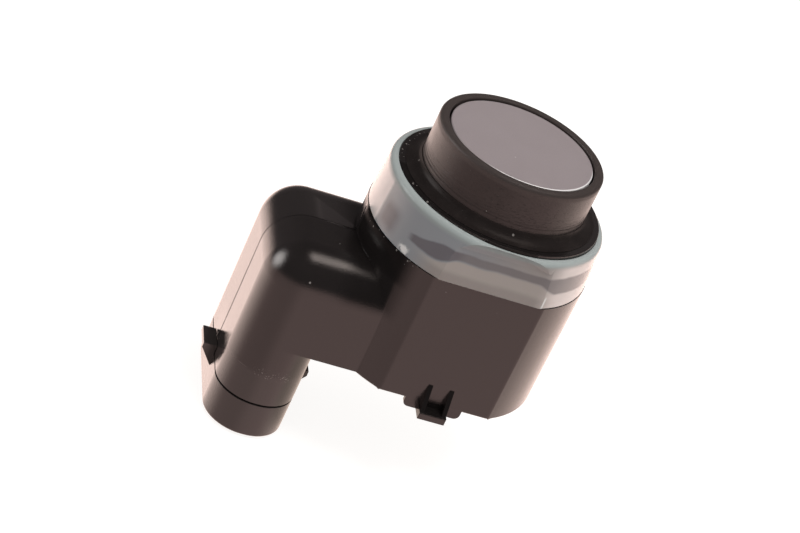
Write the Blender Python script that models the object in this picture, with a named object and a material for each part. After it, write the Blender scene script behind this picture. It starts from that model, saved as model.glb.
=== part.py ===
"""Ultrasonic parking sensor: a round body with a side arm that ends in an oval plug socket.

Metres, +Z up along the sensing axis. The origin is the centre of the diaphragm's front face.
The arm points to -X, and everything outside is the same on the -Y and +Y sides.
"""
import math

import bmesh
import bpy
from mathutils import Vector

# Clearances
FIT = 0.0003  # between pieces that seat on each other
FACE_GAP = 0.0002  # round the diaphragm, inside the rubber rim
OVERRUN = 0.001  # how far a cutter runs past the face that it opens

# Facets
ROUND = 72  # sides of a full circle
FILLET = 6  # steps of a quarter circle

# Diaphragm cup and what fills it, from the front back
FACE_RADIUS = 0.00775
FACE_EDGE = 0.00015
FACE_THICKNESS = 0.0006
CUP_WALL = 0.00125
CUP_FLAT_WALL = 0.00275
PIEZO_MARGIN = 0.0017
PIEZO_THICKNESS = 0.0004
FELT_THICKNESS = 0.0028
FILLER_THICKNESS = 0.0030
CUP_SPARE = 0.0013  # left open behind the filler

# Rubber sleeve round the cup
COLLAR_WALL = 0.0010
COLLAR_LIFT = 0.00111  # from the housing's front up to the collar
RIM_HEIGHT = 0.00023
RIM_ROUND = 0.00025
NECK_STEP = 0.0004
SLEEVE_LEDGE = 0.0009
BEAD_REACH = 0.00115
BEAD_HEIGHT = 0.0012

# Front of the housing, under the seal ring
FRONT_DEPTH = 0.00568  # from the diaphragm back to the flange
BARREL_WALL = 0.00075
FLANGE_REACH = 0.0014
FLANGE_EDGE = 0.0004  # thickness at the flange's edge
FLANGE_BREAK = 0.0001
FLANGE_TAPER = 0.0006  # how much thicker it is at its root
RIB_DROP = 0.00252
RIB_HEIGHT = 0.0014
RIB_REACH = 0.0016  # from the barrel out to the rib's edge
RIB_FLAT_REACH = 0.00042
DECK_THICKNESS = 0.0010
EDGE_ROUND = 0.00025

# Seal ring
RING_HEIGHT = 0.00545
RING_DROP = 0.00007  # how far its lip lies below the flange
RING_STEP = 0.00005  # from the body's wall in to the ring's
RING_DRAFT = 0.0003
RING_FLAT_PROUD = 0.00016
RING_LIP = 0.0001

# Body
SHOULDER_STEP = 0.00113  # from the flange's edge out to the body's wall
FLAT_DEPTH = 0.00157
BODY_WALL = 0.0014

# Arm and oval tube
TUBE_REACH = 0.01659  # from the sensing axis to the tube's middle
TUBE_HALF_X = 0.00433
TUBE_HALF_Y = 0.0087
TUBE_END_FLAT = 0.00015
TUBE_DROP = 0.00693  # from the body's foot down to the seam
ARM_HEIGHT = 0.01114  # above the body's foot
ARM_WALL = 0.0023
ARM_FLOOR = 0.0017
ARM_STEP = 0.0001  # from the body's foot up to the arm's underside
TUNNEL_ROUND = 0.0008

# Socket
COLLAR_LENGTH = 0.00424
SOCKET_WALL = 0.0012
SOCKET_DROP = 0.0015  # from the body's foot down to the socket's end wall
SPIGOT_LENGTH = 0.0016
SPIGOT_WALL = 0.0006
RIM_EDGE = 0.0002
LUG_HALF_WIDTH = 0.0016
LUG_RISE = 0.00083  # above the seam
LUG_REACH = 0.0015
LUG_HEIGHT = 0.0026
LUG_RAMP_TOP = 0.00065  # below the nose's top

# Catch on each flat
TONGUE_HALF_WIDTH = 0.0031
TONGUE_DROP = 0.0010
TONGUE_ROUND = 0.0005
LEDGE_HALF_WIDTH = 0.00147
LEDGE_REACH = 0.00144
LEDGE_DROP = 0.0004
LEDGE_HEIGHT = 0.0008
GUSSET_WIDTH = 0.0006
GUSSET_RISE = 0.00225

# Contact pins and the block that holds them
PIN_THICKNESS = 0.00064
PIN_PITCH = 0.0030
PIN_COUNT = 3
PIN_TIP_DEPTH = 0.00477  # inside the socket's rim
PIN_TAIL_INSET = 0.00213
PIN_TAIL_ABOVE_BOARD = 0.0007
PIN_TAPER = 0.0008
CARRIER_HEIGHT = 0.0021
CARRIER_PAST_PINS = 0.00187

# Circuit board, what holds it and what it carries
RETAINER_THICKNESS = 0.0012
RETAINER_HOLE = 0.0060
BOARD_SPACE = 0.0025  # above the board
BOARD_THICKNESS = 0.0010
POST_RADIUS = 0.0008
POST_X = 0.0052
POST_INSET = 0.00226
LEAD_RADIUS = 0.00025
LEAD_X = 0.0015
LEAD_SWAY = 0.0012
CORE_RADIUS = 0.0027
CORE_HEIGHT = 0.0040
CORE_FLANGE = 0.0008
CORE_POST = 0.0011
CORE_X = 0.0040
CORE_Y = 0.0027
WINDING_MARGIN = 0.0005
CHIP_LENGTH = 0.0062
CHIP_WIDTH = 0.0039
CHIP_HEIGHT = 0.0015
CHIP_X = 0.0004
CHIP_Y = -0.0040
CHIP_LEGS = 5
CHIP_LEG_WIDTH = 0.0004
CHIP_LEG_REACH = 0.0009
CHIP_LEG_THICKNESS = 0.0003
CAN_RADIUS = 0.0021
CAN_HEIGHT = 0.0042
CAN_X = -0.0032
CAN_Y = 0.0040
CAN_GROOVE_DEPTH = 0.0002
CAN_GROOVE_HEIGHT = 0.0004
CAN_GROOVE_DROP = 0.0006
CAN_ROOM = 0.0011  # below the can
SMALL_LENGTH = 0.0020
SMALL_WIDTH = 0.00125
SMALL_HEIGHT = 0.0008
SMALL_CAP_LENGTH = 0.0004
SMALL_CAP_STEP = 0.0001
SMALL_SPACING = 0.0038
CERAMIC_X = -0.0024
CERAMIC_INSET = 0.00256
RESISTOR_X = -0.0020
RESISTOR_INSET = 0.00216

# Rear cover
COVER_LEDGE = 0.0006
COVER_THICKNESS = 0.0013
COVER_SET_BACK = 0.0001

# Radii and flats, from the diaphragm outwards
CUP_HOLLOW_RADIUS = FACE_RADIUS - CUP_WALL
CUP_HOLLOW_FLAT = FACE_RADIUS - CUP_FLAT_WALL
PIEZO_RADIUS = CUP_HOLLOW_FLAT - PIEZO_MARGIN
COLLAR_RADIUS = FACE_RADIUS + FACE_GAP + COLLAR_WALL
NECK_RADIUS = COLLAR_RADIUS - NECK_STEP
BEAD_RADIUS = NECK_RADIUS + BEAD_REACH
BARREL_RADIUS = NECK_RADIUS + FIT + BARREL_WALL
FLANGE_RADIUS = BARREL_RADIUS + FLANGE_REACH
BODY_RADIUS = FLANGE_RADIUS + SHOULDER_STEP
BODY_FLAT = BODY_RADIUS - FLAT_DEPTH
CAVITY_RADIUS = BODY_RADIUS - BODY_WALL
CAVITY_FLAT = BODY_FLAT - BODY_WALL
POST_Y = CAVITY_FLAT - POST_INSET

# Levels, from the diaphragm down
FILLING_DEPTH = FACE_THICKNESS + PIEZO_THICKNESS + FELT_THICKNESS + FILLER_THICKNESS + 3 * FIT
CUP_BOTTOM = -(FILLING_DEPTH + CUP_SPARE)
FLANGE_TOP = -FRONT_DEPTH
COLLAR_BOTTOM = FLANGE_TOP + COLLAR_LIFT
RING_TOP = FLANGE_TOP - RING_DROP
RING_BOTTOM = RING_TOP - RING_HEIGHT
RIB_TOP = FLANGE_TOP - RIB_DROP
SHOULDER_Z = RING_BOTTOM - FIT
DECK_BOTTOM = SHOULDER_Z - DECK_THICKNESS
SLEEVE_BOTTOM = min(DECK_BOTTOM, CUP_BOTTOM - FIT) - FIT - BEAD_HEIGHT
RETAINER_TOP = SLEEVE_BOTTOM - FIT
RETAINER_BOTTOM = RETAINER_TOP - RETAINER_THICKNESS
BOARD_TOP = RETAINER_BOTTOM - BOARD_SPACE
BOARD_BOTTOM = BOARD_TOP - BOARD_THICKNESS
COVER_TOP = BOARD_BOTTOM - FIT - CAN_HEIGHT - CAN_ROOM
BODY_BOTTOM = COVER_TOP - COVER_THICKNESS - COVER_SET_BACK
ARM_TOP = BODY_BOTTOM + ARM_HEIGHT
ARM_BOTTOM = BODY_BOTTOM + ARM_STEP
SOCKET_TOP = BODY_BOTTOM - SOCKET_DROP
SEAM_Z = BODY_BOTTOM - TUBE_DROP
RIM_Z = SEAM_Z - COLLAR_LENGTH
LUG_TOP = SEAM_Z + LUG_RISE
LEDGE_TOP = BODY_BOTTOM - LEDGE_DROP
LEDGE_BOTTOM = LEDGE_TOP - LEDGE_HEIGHT
GUSSET_TOP = BODY_BOTTOM + GUSSET_RISE

# Places along the arm
TUBE_X = -TUBE_REACH
TUBE_ROUND = TUBE_HALF_X - TUBE_END_FLAT
TUBE_LEFT = TUBE_X - TUBE_HALF_X
TUBE_RIGHT = TUBE_X + TUBE_HALF_X
LIMB_ROOT_X = -CAVITY_RADIUS / 2
TUNNEL_LEFT = TUBE_LEFT + ARM_WALL
TUNNEL_HALF_Y = TUBE_HALF_Y - ARM_WALL
TUNNEL_BOTTOM = ARM_BOTTOM + ARM_FLOOR
TUNNEL_TOP = ARM_TOP - ARM_WALL
CARRIER_TOP = TUNNEL_BOTTOM + FIT + CARRIER_HEIGHT
PIN_LEVEL = CARRIER_TOP + FIT + PIN_THICKNESS / 2
PIN_TIP_Z = RIM_Z + PIN_TIP_DEPTH
PIN_TAIL_X = PIN_TAIL_INSET - CAVITY_RADIUS
PIN_Y = [PIN_PITCH * (i - (PIN_COUNT - 1) / 2) for i in range(PIN_COUNT)]


def clear_scene():
    for old in list(bpy.data.objects):
        bpy.data.objects.remove(old, do_unlink=True)


def material(name, colour, roughness, metallic=0.0):
    made = bpy.data.materials.new(name)
    made.use_nodes = True
    shader = made.node_tree.nodes["Principled BSDF"]
    shader.inputs["Base Color"].default_value = (*colour, 1.0)
    shader.inputs["Roughness"].default_value = roughness
    shader.inputs["Metallic"].default_value = metallic
    return made


# Outlines in the XY plane, counter-clockwise seen from above


def circle(radius, count=ROUND, centre=(0.0, 0.0)):
    turn = 2 * math.pi / count
    return [(centre[0] + radius * math.cos(i * turn), centre[1] + radius * math.sin(i * turn))
            for i in range(count)]


def flatted(radius, flat, count=ROUND):
    """A circle cut off by flats at y = -flat and y = flat."""
    if flat >= radius:
        return circle(radius, count)
    reach = math.asin(flat / radius)
    steps = max(4, round(count * reach / math.pi))
    side = [-reach + 2 * reach * i / steps for i in range(steps + 1)]
    right = [(radius * math.cos(a), radius * math.sin(a)) for a in side]
    left = [(-x, -y) for x, y in right]
    return right + left


def rounded_box(centre_x, half_x, half_y, radius, steps=2 * FILLET):
    """A rectangle about (centre_x, 0) with round corners."""
    outline = []
    for corner, (sx, sy) in enumerate(((1, 1), (-1, 1), (-1, -1), (1, -1))):
        middle_x = centre_x + sx * (half_x - radius)
        middle_y = sy * (half_y - radius)
        for i in range(steps + 1):
            angle = math.pi / 2 * (corner + i / steps)
            outline.append((middle_x + radius * math.cos(angle), middle_y + radius * math.sin(angle)))
    return outline


# Solids


def loft(levels):
    """A closed solid through outlines of one point count: levels are (outline, z), lowest first."""
    mesh = bmesh.new()
    rings = [[mesh.verts.new((x, y, z)) for x, y in outline] for outline, z in levels]
    mesh.faces.new(list(reversed(rings[0])))
    for low, high in zip(rings, rings[1:]):
        for i in range(len(low)):
            j = (i + 1) % len(low)
            mesh.faces.new((low[i], low[j], high[j], high[i]))
    mesh.faces.new(rings[-1])
    return mesh


def prism(outline, low, high):
    return loft([(outline, low), (outline, high)])


def block(x0, x1, y0, y1, z0, z1):
    return prism([(x0, y0), (x1, y0), (x1, y1), (x0, y1)], z0, z1)


def side_prism(outline_xz, y0, y1):
    """A solid with its outline in the XZ plane, drawn through from y0 to y1."""
    mesh = bmesh.new()
    near = [mesh.verts.new((x, y0, z)) for x, z in outline_xz]
    far = [mesh.verts.new((x, y1, z)) for x, z in outline_xz]
    mesh.faces.new(near)
    mesh.faces.new(list(reversed(far)))
    for i in range(len(near)):
        j = (i + 1) % len(near)
        mesh.faces.new((near[j], near[i], far[i], far[j]))
    return mesh


def revolve(profile, centre=(0.0, 0.0), count=ROUND):
    """A closed (radius, z) profile turned about a vertical axis; points at radius 0 become poles."""
    mesh = bmesh.new()
    columns = []
    for radius, z in profile:
        if radius == 0.0:
            columns.append([mesh.verts.new((centre[0], centre[1], z))] * count)
        else:
            columns.append([mesh.verts.new((x, y, z)) for x, y in circle(radius, count, centre)])
    for a, b in zip(columns, columns[1:] + columns[:1]):
        for i in range(count):
            j = (i + 1) % count
            corners = []
            for corner in (a[i], a[j], b[j], b[i]):
                if corner not in corners:
                    corners.append(corner)
            if len(corners) > 2:
                mesh.faces.new(corners)
    return mesh


def mirrored(mesh, factor):
    for vert in mesh.verts:
        vert.co = Vector((vert.co.x * factor[0], vert.co.y * factor[1], vert.co.z * factor[2]))
    return mesh


def make_object(name, mesh, finish=None, smooth=20.0):
    bmesh.ops.recalc_face_normals(mesh, faces=mesh.faces)
    data = bpy.data.meshes.new(name)
    mesh.to_mesh(data)
    mesh.free()
    if finish:
        data.materials.append(finish)
    data.shade_smooth()
    data.set_sharp_from_angle(angle=math.radians(smooth))
    made = bpy.data.objects.new(name, data)
    bpy.context.scene.collection.objects.link(made)
    return made


def boolean(target, mesh, operation, name):
    """Adds a Boolean modifier whose other object is a hidden wire guide."""
    guide = make_object(name, mesh)
    guide.hide_render = True
    guide.display_type = "WIRE"
    modifier = target.modifiers.new(name, "BOOLEAN")
    modifier.operation = operation
    modifier.object = guide
    return target


def union(target, mesh, name):
    return boolean(target, mesh, "UNION", name)


def cut(target, mesh, name):
    return boolean(target, mesh, "DIFFERENCE", name)


# Housing


def limb():
    """The arm and the oval tube under it in one shell.

    Both share their left side. Above the arm's underside each level of the outline is drawn in further,
    which rounds the top like a pillow.
    """
    right = LIMB_ROOT_X
    steps = 2 * FILLET
    widest_inset = TUBE_ROUND * 0.999  # so that the top keeps a face
    middle_left = TUBE_LEFT + TUBE_ROUND
    middle_right = TUBE_RIGHT - TUBE_ROUND
    middle_y = TUBE_HALF_Y - TUBE_ROUND

    def corner(middle_x, middle_y, radius, start):
        angles = [math.radians(start + 90 * i / steps) for i in range(steps + 1)]
        return [(middle_x + radius * math.cos(a), middle_y + radius * math.sin(a)) for a in angles]

    def shared(inset):
        """The left side and the ends of its two straights, from the back tangent point round to the front."""
        radius = TUBE_ROUND - inset
        return [(middle_right, TUBE_HALF_Y - inset), *corner(middle_left, middle_y, radius, 90),
                *corner(middle_left, -middle_y, radius, 180), (middle_right, inset - TUBE_HALF_Y)]

    def ring(points, z):
        return [mesh.verts.new((x, y, z)) for x, y in points]

    def wall(low, high):
        for i in range(len(low)):
            j = (i + 1) % len(low)
            mesh.faces.new((low[i], low[j], high[j], high[i]))

    mesh = bmesh.new()
    outline = (shared(0.0) + corner(middle_right, -middle_y, TUBE_ROUND, 270)[1:]
               + corner(middle_right, middle_y, TUBE_ROUND, 0)[:-1])
    tube_low = ring(outline, SEAM_Z)
    tube_high = ring(outline, ARM_BOTTOM)
    mesh.faces.new(tube_low)
    wall(tube_low, tube_high)
    count = len(shared(0.0))
    foot = ring([(right, -TUBE_HALF_Y), (right, TUBE_HALF_Y)], ARM_BOTTOM)
    mesh.faces.new([tube_high[count - 1], *tube_high[count:], tube_high[0], foot[1], foot[0]])
    below = tube_high[:count] + foot
    for i in range(steps + 1):
        angle = math.pi / 2 * i / steps
        inset = widest_inset * (1 - math.cos(angle))
        half_y = TUBE_HALF_Y - inset
        level = ring(shared(inset) + [(right, -half_y), (right, half_y)],
                     ARM_TOP - TUBE_ROUND * (1 - math.sin(angle)))
        wall(below, level)
        below = level
    mesh.faces.new(below)
    bmesh.ops.remove_doubles(mesh, verts=mesh.verts, dist=0.00001)
    return mesh


def catch():
    """Tongue, ledge and two gussets at the foot of the flat on -Y."""
    half = TONGUE_HALF_WIDTH
    low = BODY_BOTTOM - TONGUE_DROP
    outline = [(-half, BODY_BOTTOM + BODY_WALL)]
    for side, start in ((-1, 180), (1, 270)):
        for i in range(FILLET + 1):
            angle = math.radians(start + 90 * i / FILLET)
            outline.append((side * (half - TONGUE_ROUND) + TONGUE_ROUND * math.cos(angle),
                            low + TONGUE_ROUND + TONGUE_ROUND * math.sin(angle)))
    outline.append((half, BODY_BOTTOM + BODY_WALL))
    inner = -(BODY_FLAT - COVER_LEDGE)
    tongue = side_prism(outline, -BODY_FLAT, inner)
    face = -BODY_FLAT
    front = face - LEDGE_REACH
    sunk = face + COVER_LEDGE / 2
    ledge = block(-LEDGE_HALF_WIDTH, LEDGE_HALF_WIDTH, front, sunk, LEDGE_BOTTOM, LEDGE_TOP)
    shells = [tongue, ledge]
    for side in (-1, 1):
        edges = sorted((side * LEDGE_HALF_WIDTH, side * (LEDGE_HALF_WIDTH - GUSSET_WIDTH)))
        gusset = bmesh.new()
        rows = []
        for x in edges:
            rows.append([gusset.verts.new((x, y, z)) for y, z in (
                (sunk, GUSSET_TOP), (face, GUSSET_TOP), (front, LEDGE_TOP),
                (front, LEDGE_TOP - LEDGE_HEIGHT / 2), (sunk, LEDGE_TOP - LEDGE_HEIGHT / 2))])
        gusset.faces.new(rows[0])
        gusset.faces.new(list(reversed(rows[1])))
        for i in range(len(rows[0])):
            j = (i + 1) % len(rows[0])
            gusset.faces.new((rows[0][j], rows[0][i], rows[1][i], rows[1][j]))
        shells.append(gusset)
    return shells


def barrel():
    """The round front of the body: a thin-edged flange over a groove, on a solid core."""
    flange_bottom = FLANGE_TOP - FLANGE_EDGE
    return revolve([
        (0.0, FLANGE_TOP), (FLANGE_RADIUS - FLANGE_BREAK, FLANGE_TOP),
        (FLANGE_RADIUS, FLANGE_TOP - FLANGE_BREAK), (FLANGE_RADIUS, flange_bottom),
        (BARREL_RADIUS, flange_bottom - FLANGE_TAPER),
        (BARREL_RADIUS, SHOULDER_Z - DECK_THICKNESS / 2), (0.0, SHOULDER_Z - DECK_THICKNESS / 2)])


def rib_outline(extra=0.0):
    return flatted(BARREL_RADIUS + RIB_REACH + extra, BARREL_RADIUS + RIB_FLAT_REACH + extra)


def tube_outline(inset):
    return rounded_box(TUBE_X, TUBE_HALF_X - inset, TUBE_HALF_Y - inset, TUBE_ROUND - inset)


def make_housing(finish):
    body = make_object("housing", prism(flatted(BODY_RADIUS, BODY_FLAT), BODY_BOTTOM, SHOULDER_Z), finish)
    union(body, barrel(), "guide_barrel")
    union(body, prism(rib_outline(), RIB_TOP - RIB_HEIGHT, RIB_TOP), "guide_rib")
    union(body, limb(), "guide_limb")
    spigot_bottom = SEAM_Z - SPIGOT_LENGTH
    spigot = SOCKET_WALL - SPIGOT_WALL
    union(body, prism(tube_outline(spigot), spigot_bottom, SEAM_Z + SPIGOT_LENGTH / 2), "guide_spigot")
    for side in (1, -1):
        for number, shell in enumerate(catch()):
            union(body, mirrored(shell, (1, side, 1)), f"guide_catch_{number}_{side + 1}")
    bore = NECK_RADIUS + FIT
    mouth = COLLAR_RADIUS + FIT
    cut(body, revolve([(0.0, DECK_BOTTOM - OVERRUN), (bore, DECK_BOTTOM - OVERRUN),
                       (bore, FLANGE_TOP - (mouth - bore)), (mouth + OVERRUN, FLANGE_TOP + OVERRUN),
                       (0.0, FLANGE_TOP + OVERRUN)]), "cut_bore")
    cut(body, prism(flatted(CAVITY_RADIUS, CAVITY_FLAT), BODY_BOTTOM - OVERRUN, DECK_BOTTOM), "cut_cavity")
    recess = flatted(BODY_RADIUS - COVER_LEDGE, BODY_FLAT - COVER_LEDGE)
    cut(body, prism(recess, BODY_BOTTOM - 2 * OVERRUN, COVER_TOP + FIT), "cut_cover_recess")
    tunnel_right = LIMB_ROOT_X + OVERRUN
    tunnel = rounded_box((TUNNEL_LEFT + tunnel_right) / 2, (tunnel_right - TUNNEL_LEFT) / 2,
                         TUNNEL_HALF_Y, TUNNEL_ROUND, FILLET)
    cut(body, prism(tunnel, TUNNEL_BOTTOM, TUNNEL_TOP), "cut_tunnel")
    cut(body, prism(tube_outline(SOCKET_WALL), RIM_Z - OVERRUN, SOCKET_TOP), "cut_socket")
    half = PIN_THICKNESS / 2 + FIT
    for number, y in enumerate(PIN_Y):
        hole = block(TUBE_X - half, TUBE_X + half, y - half, y + half,
                     SOCKET_TOP - OVERRUN, TUNNEL_BOTTOM + OVERRUN)
        cut(body, hole, f"cut_pin_hole_{number + 1}")
    return body


def lug(side):
    """A latch tooth on the collar, ramped below, whose nose reaches up past the seam."""
    wall = TUBE_X + side * TUBE_HALF_X
    nose = wall + side * LUG_REACH
    clear = wall + side * FIT
    root = wall - side * SOCKET_WALL / 4
    collar_top = SEAM_Z - FIT
    foot = LUG_TOP - LUG_HEIGHT
    outline = [(clear, LUG_TOP), (clear, collar_top - FIT), (root, collar_top - 2 * FIT),
               (root, foot), (nose, LUG_TOP - LUG_RAMP_TOP), (nose, LUG_TOP)]
    return side_prism(outline, -LUG_HALF_WIDTH, LUG_HALF_WIDTH)


def make_socket_collar(finish):
    collar = make_object("socket_collar", loft([
        (tube_outline(RIM_EDGE), RIM_Z), (tube_outline(0.0), RIM_Z + RIM_EDGE),
        (tube_outline(0.0), SEAM_Z - FIT)]), finish)
    for side in (-1, 1):
        union(collar, lug(side), f"guide_lug_{side + 1}")
    spigot_room = SOCKET_WALL - SPIGOT_WALL - FIT
    cut(collar, prism(tube_outline(spigot_room), SEAM_Z - SPIGOT_LENGTH - FIT, SEAM_Z + OVERRUN),
        "cut_spigot_room")
    cut(collar, prism(tube_outline(SOCKET_WALL), RIM_Z - OVERRUN, SEAM_Z), "cut_collar_bore")
    return collar


# Front: seal ring, rubber sleeve and diaphragm


def make_seal_ring(finish):
    outer = BODY_RADIUS - RING_STEP
    lip = FLANGE_RADIUS + FIT
    bottom_edge = RING_LIP
    outside = [(0.0, RING_BOTTOM), (outer - bottom_edge, RING_BOTTOM), (outer, RING_BOTTOM + bottom_edge)]
    top_radius = lip + RING_LIP
    rounding = outer - RING_DRAFT - top_radius
    for i in range(FILLET + 1):
        angle = math.pi / 2 * i / FILLET
        outside.append((top_radius + rounding * math.cos(angle),
                        RING_TOP - rounding * (1 - math.sin(angle))))
    outside.append((0.0, RING_TOP))
    ring = make_object("seal_ring", revolve(outside), finish)
    flat = BODY_FLAT + RING_FLAT_PROUD
    for side in (-1, 1):
        near, far = sorted((side * flat, side * (outer + OVERRUN)))
        slab = block(-outer - OVERRUN, outer + OVERRUN, near, far, RING_BOTTOM - OVERRUN, RING_TOP + OVERRUN)
        cut(ring, slab, f"cut_ring_flat_{side + 1}")
    inner = BARREL_RADIUS + FIT
    under_flange = FLANGE_TOP - FLANGE_EDGE - FIT
    bore = [(0.0, RING_BOTTOM - OVERRUN), (inner, RING_BOTTOM - OVERRUN),
            (inner, under_flange - FLANGE_TAPER), (lip, under_flange),
            (lip, RING_TOP + OVERRUN), (0.0, RING_TOP + OVERRUN)]
    cut(ring, revolve(bore), "cut_ring_bore")
    cut(ring, prism(rib_outline(FIT), RIB_TOP - RIB_HEIGHT - FIT, RIB_TOP + FIT), "cut_rib_groove")
    return ring


def make_decoupling_ring(finish):
    """A stepped sleeve: rim and collar in front, a neck through the bore, a flatted bead under the deck."""
    edge = RIM_ROUND
    middle = DECK_BOTTOM - FIT - BEAD_HEIGHT / 2
    outside = [(0.0, RIM_HEIGHT)]
    for i in range(FILLET // 2 + 1):
        angle = math.pi / 2 * (1 - i / (FILLET // 2))
        outside.append((COLLAR_RADIUS - edge * (1 - math.cos(angle)),
                        RIM_HEIGHT - edge * (1 - math.sin(angle))))
    outside += [(COLLAR_RADIUS, COLLAR_BOTTOM + edge), (COLLAR_RADIUS - edge, COLLAR_BOTTOM),
                (NECK_RADIUS, COLLAR_BOTTOM), (NECK_RADIUS, middle), (0.0, middle)]
    sleeve = make_object("decoupling_ring", revolve(outside), finish)
    bead = flatted(BEAD_RADIUS, min(BEAD_RADIUS, CAVITY_FLAT - FIT))
    union(sleeve, prism(bead, SLEEVE_BOTTOM, DECK_BOTTOM - FIT), "guide_bead")
    inside = FACE_RADIUS + FACE_GAP
    ledge = FACE_RADIUS - SLEEVE_LEDGE
    over = RIM_HEIGHT + OVERRUN
    seat = CUP_BOTTOM - FIT
    under = SLEEVE_BOTTOM - OVERRUN
    bore = [(0.0, over), (inside + edge + OVERRUN, over), (inside, RIM_HEIGHT - edge),
            (inside, seat), (ledge, seat), (ledge, under), (0.0, under)]
    return cut(sleeve, revolve(bore), "cut_sleeve_bore")


def make_diaphragm_cup(finish):
    edge = FACE_EDGE
    outside = [(0.0, 0.0), (FACE_RADIUS - edge, 0.0)]
    outside += [(FACE_RADIUS, -edge), (FACE_RADIUS, CUP_BOTTOM), (0.0, CUP_BOTTOM)]
    cup = make_object("diaphragm_cup", revolve(outside), finish)
    hollow = prism(flatted(CUP_HOLLOW_RADIUS, CUP_HOLLOW_FLAT), CUP_BOTTOM - OVERRUN, -FACE_THICKNESS)
    return cut(cup, hollow, "cut_cup_hollow")


def lead_holes(low, high):
    radius = LEAD_RADIUS + FIT
    return [prism(circle(radius, 12, (side * LEAD_X, 0.0)), low - OVERRUN, high + OVERRUN)
            for side in (-1, 1)]


def make_cup_fillings(ceramic, felt, silicone):
    piezo_top = -FACE_THICKNESS - FIT
    piezo_bottom = piezo_top - PIEZO_THICKNESS
    make_object("piezo_disc", revolve([(0.0, piezo_top), (PIEZO_RADIUS, piezo_top),
                                       (PIEZO_RADIUS, piezo_bottom), (0.0, piezo_bottom)], count=48), ceramic)
    outline = flatted(CUP_HOLLOW_RADIUS - FIT, CUP_HOLLOW_FLAT - FIT, 48)
    top = piezo_bottom - FIT
    for name, thickness, finish in (("damping_felt", FELT_THICKNESS, felt),
                                    ("cup_filler", FILLER_THICKNESS, silicone)):
        low = top - thickness
        layer = make_object(name, prism(outline, low, top), finish)
        for number, hole in enumerate(lead_holes(low, top)):
            cut(layer, hole, f"cut_{name}_{number + 1}")
        top = low - FIT
    return piezo_bottom


def make_leads(finish, start_z):
    """Two wires from the back of the ceramic to the board, each with a slack bow below the cup."""
    end_z = BOARD_TOP + FIT
    free_z = CUP_BOTTOM - FIT
    steps = 16
    for number, side in enumerate((-1, 1)):
        curve = bpy.data.curves.new(f"piezo_lead_{number + 1}", "CURVE")
        curve.dimensions = "3D"
        curve.bevel_depth = LEAD_RADIUS
        curve.bevel_resolution = 2
        curve.use_fill_caps = True
        points = [(side * LEAD_X, 0.0, start_z - FIT)]
        for i in range(steps + 1):
            share = i / steps
            bow = LEAD_SWAY * math.sin(math.pi * share) ** 2
            points.append((side * LEAD_X, side * bow, free_z + (end_z - free_z) * share))
        line = curve.splines.new("POLY")
        line.points.add(len(points) - 1)
        for point, place in zip(line.points, points):
            point.co = (*place, 1.0)
        curve.materials.append(finish)
        made = bpy.data.objects.new(f"piezo_lead_{number + 1}", curve)
        bpy.context.scene.collection.objects.link(made)


# Inside the body


def post(x, y, low, high):
    return prism(circle(POST_RADIUS, 16, (x, y)), low, high)


def post_places():
    return [(sx * POST_X, sy * POST_Y) for sx in (-1, 1) for sy in (-1, 1)]


def make_ring_retainer(finish):
    outline = flatted(CAVITY_RADIUS - FIT, CAVITY_FLAT - FIT)
    plate = make_object("ring_retainer", prism(outline, RETAINER_BOTTOM, RETAINER_TOP), finish)
    for number, (x, y) in enumerate(post_places()):
        leg = post(x, y, BOARD_TOP + FIT, RETAINER_BOTTOM + RETAINER_THICKNESS / 2)
        union(plate, leg, f"guide_retainer_post_{number}")
    hole = prism(circle(RETAINER_HOLE, 48), RETAINER_BOTTOM - OVERRUN, RETAINER_TOP + OVERRUN)
    return cut(plate, hole, "cut_retainer_hole")


def make_circuit_board(finish):
    outline = flatted(CAVITY_RADIUS - FIT, CAVITY_FLAT - FIT)
    board = make_object("circuit_board", prism(outline, BOARD_BOTTOM, BOARD_TOP), finish)
    half = PIN_THICKNESS / 2 + FIT
    for number, y in enumerate(PIN_Y):
        hole = block(PIN_TAIL_X - half, PIN_TAIL_X + half, y - half, y + half,
                     BOARD_BOTTOM - OVERRUN, BOARD_TOP + OVERRUN)
        cut(board, hole, f"cut_board_hole_{number + 1}")
    return board


def make_transformer(ferrite, copper):
    top = BOARD_BOTTOM - FIT
    bottom = top - CORE_HEIGHT
    place = (CORE_X, CORE_Y)
    core = [(0.0, top), (CORE_RADIUS, top), (CORE_RADIUS, top - CORE_FLANGE), (CORE_POST, top - CORE_FLANGE),
            (CORE_POST, bottom + CORE_FLANGE), (CORE_RADIUS, bottom + CORE_FLANGE), (CORE_RADIUS, bottom),
            (0.0, bottom)]
    make_object("transformer_core", revolve(core, place, 32), ferrite)
    high = top - CORE_FLANGE - FIT
    low = bottom + CORE_FLANGE + FIT
    coil = [(CORE_POST + FIT, high), (CORE_RADIUS - WINDING_MARGIN, high),
            (CORE_RADIUS - WINDING_MARGIN, low), (CORE_POST + FIT, low)]
    make_object("transformer_winding", revolve(coil, place, 32), copper)


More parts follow.
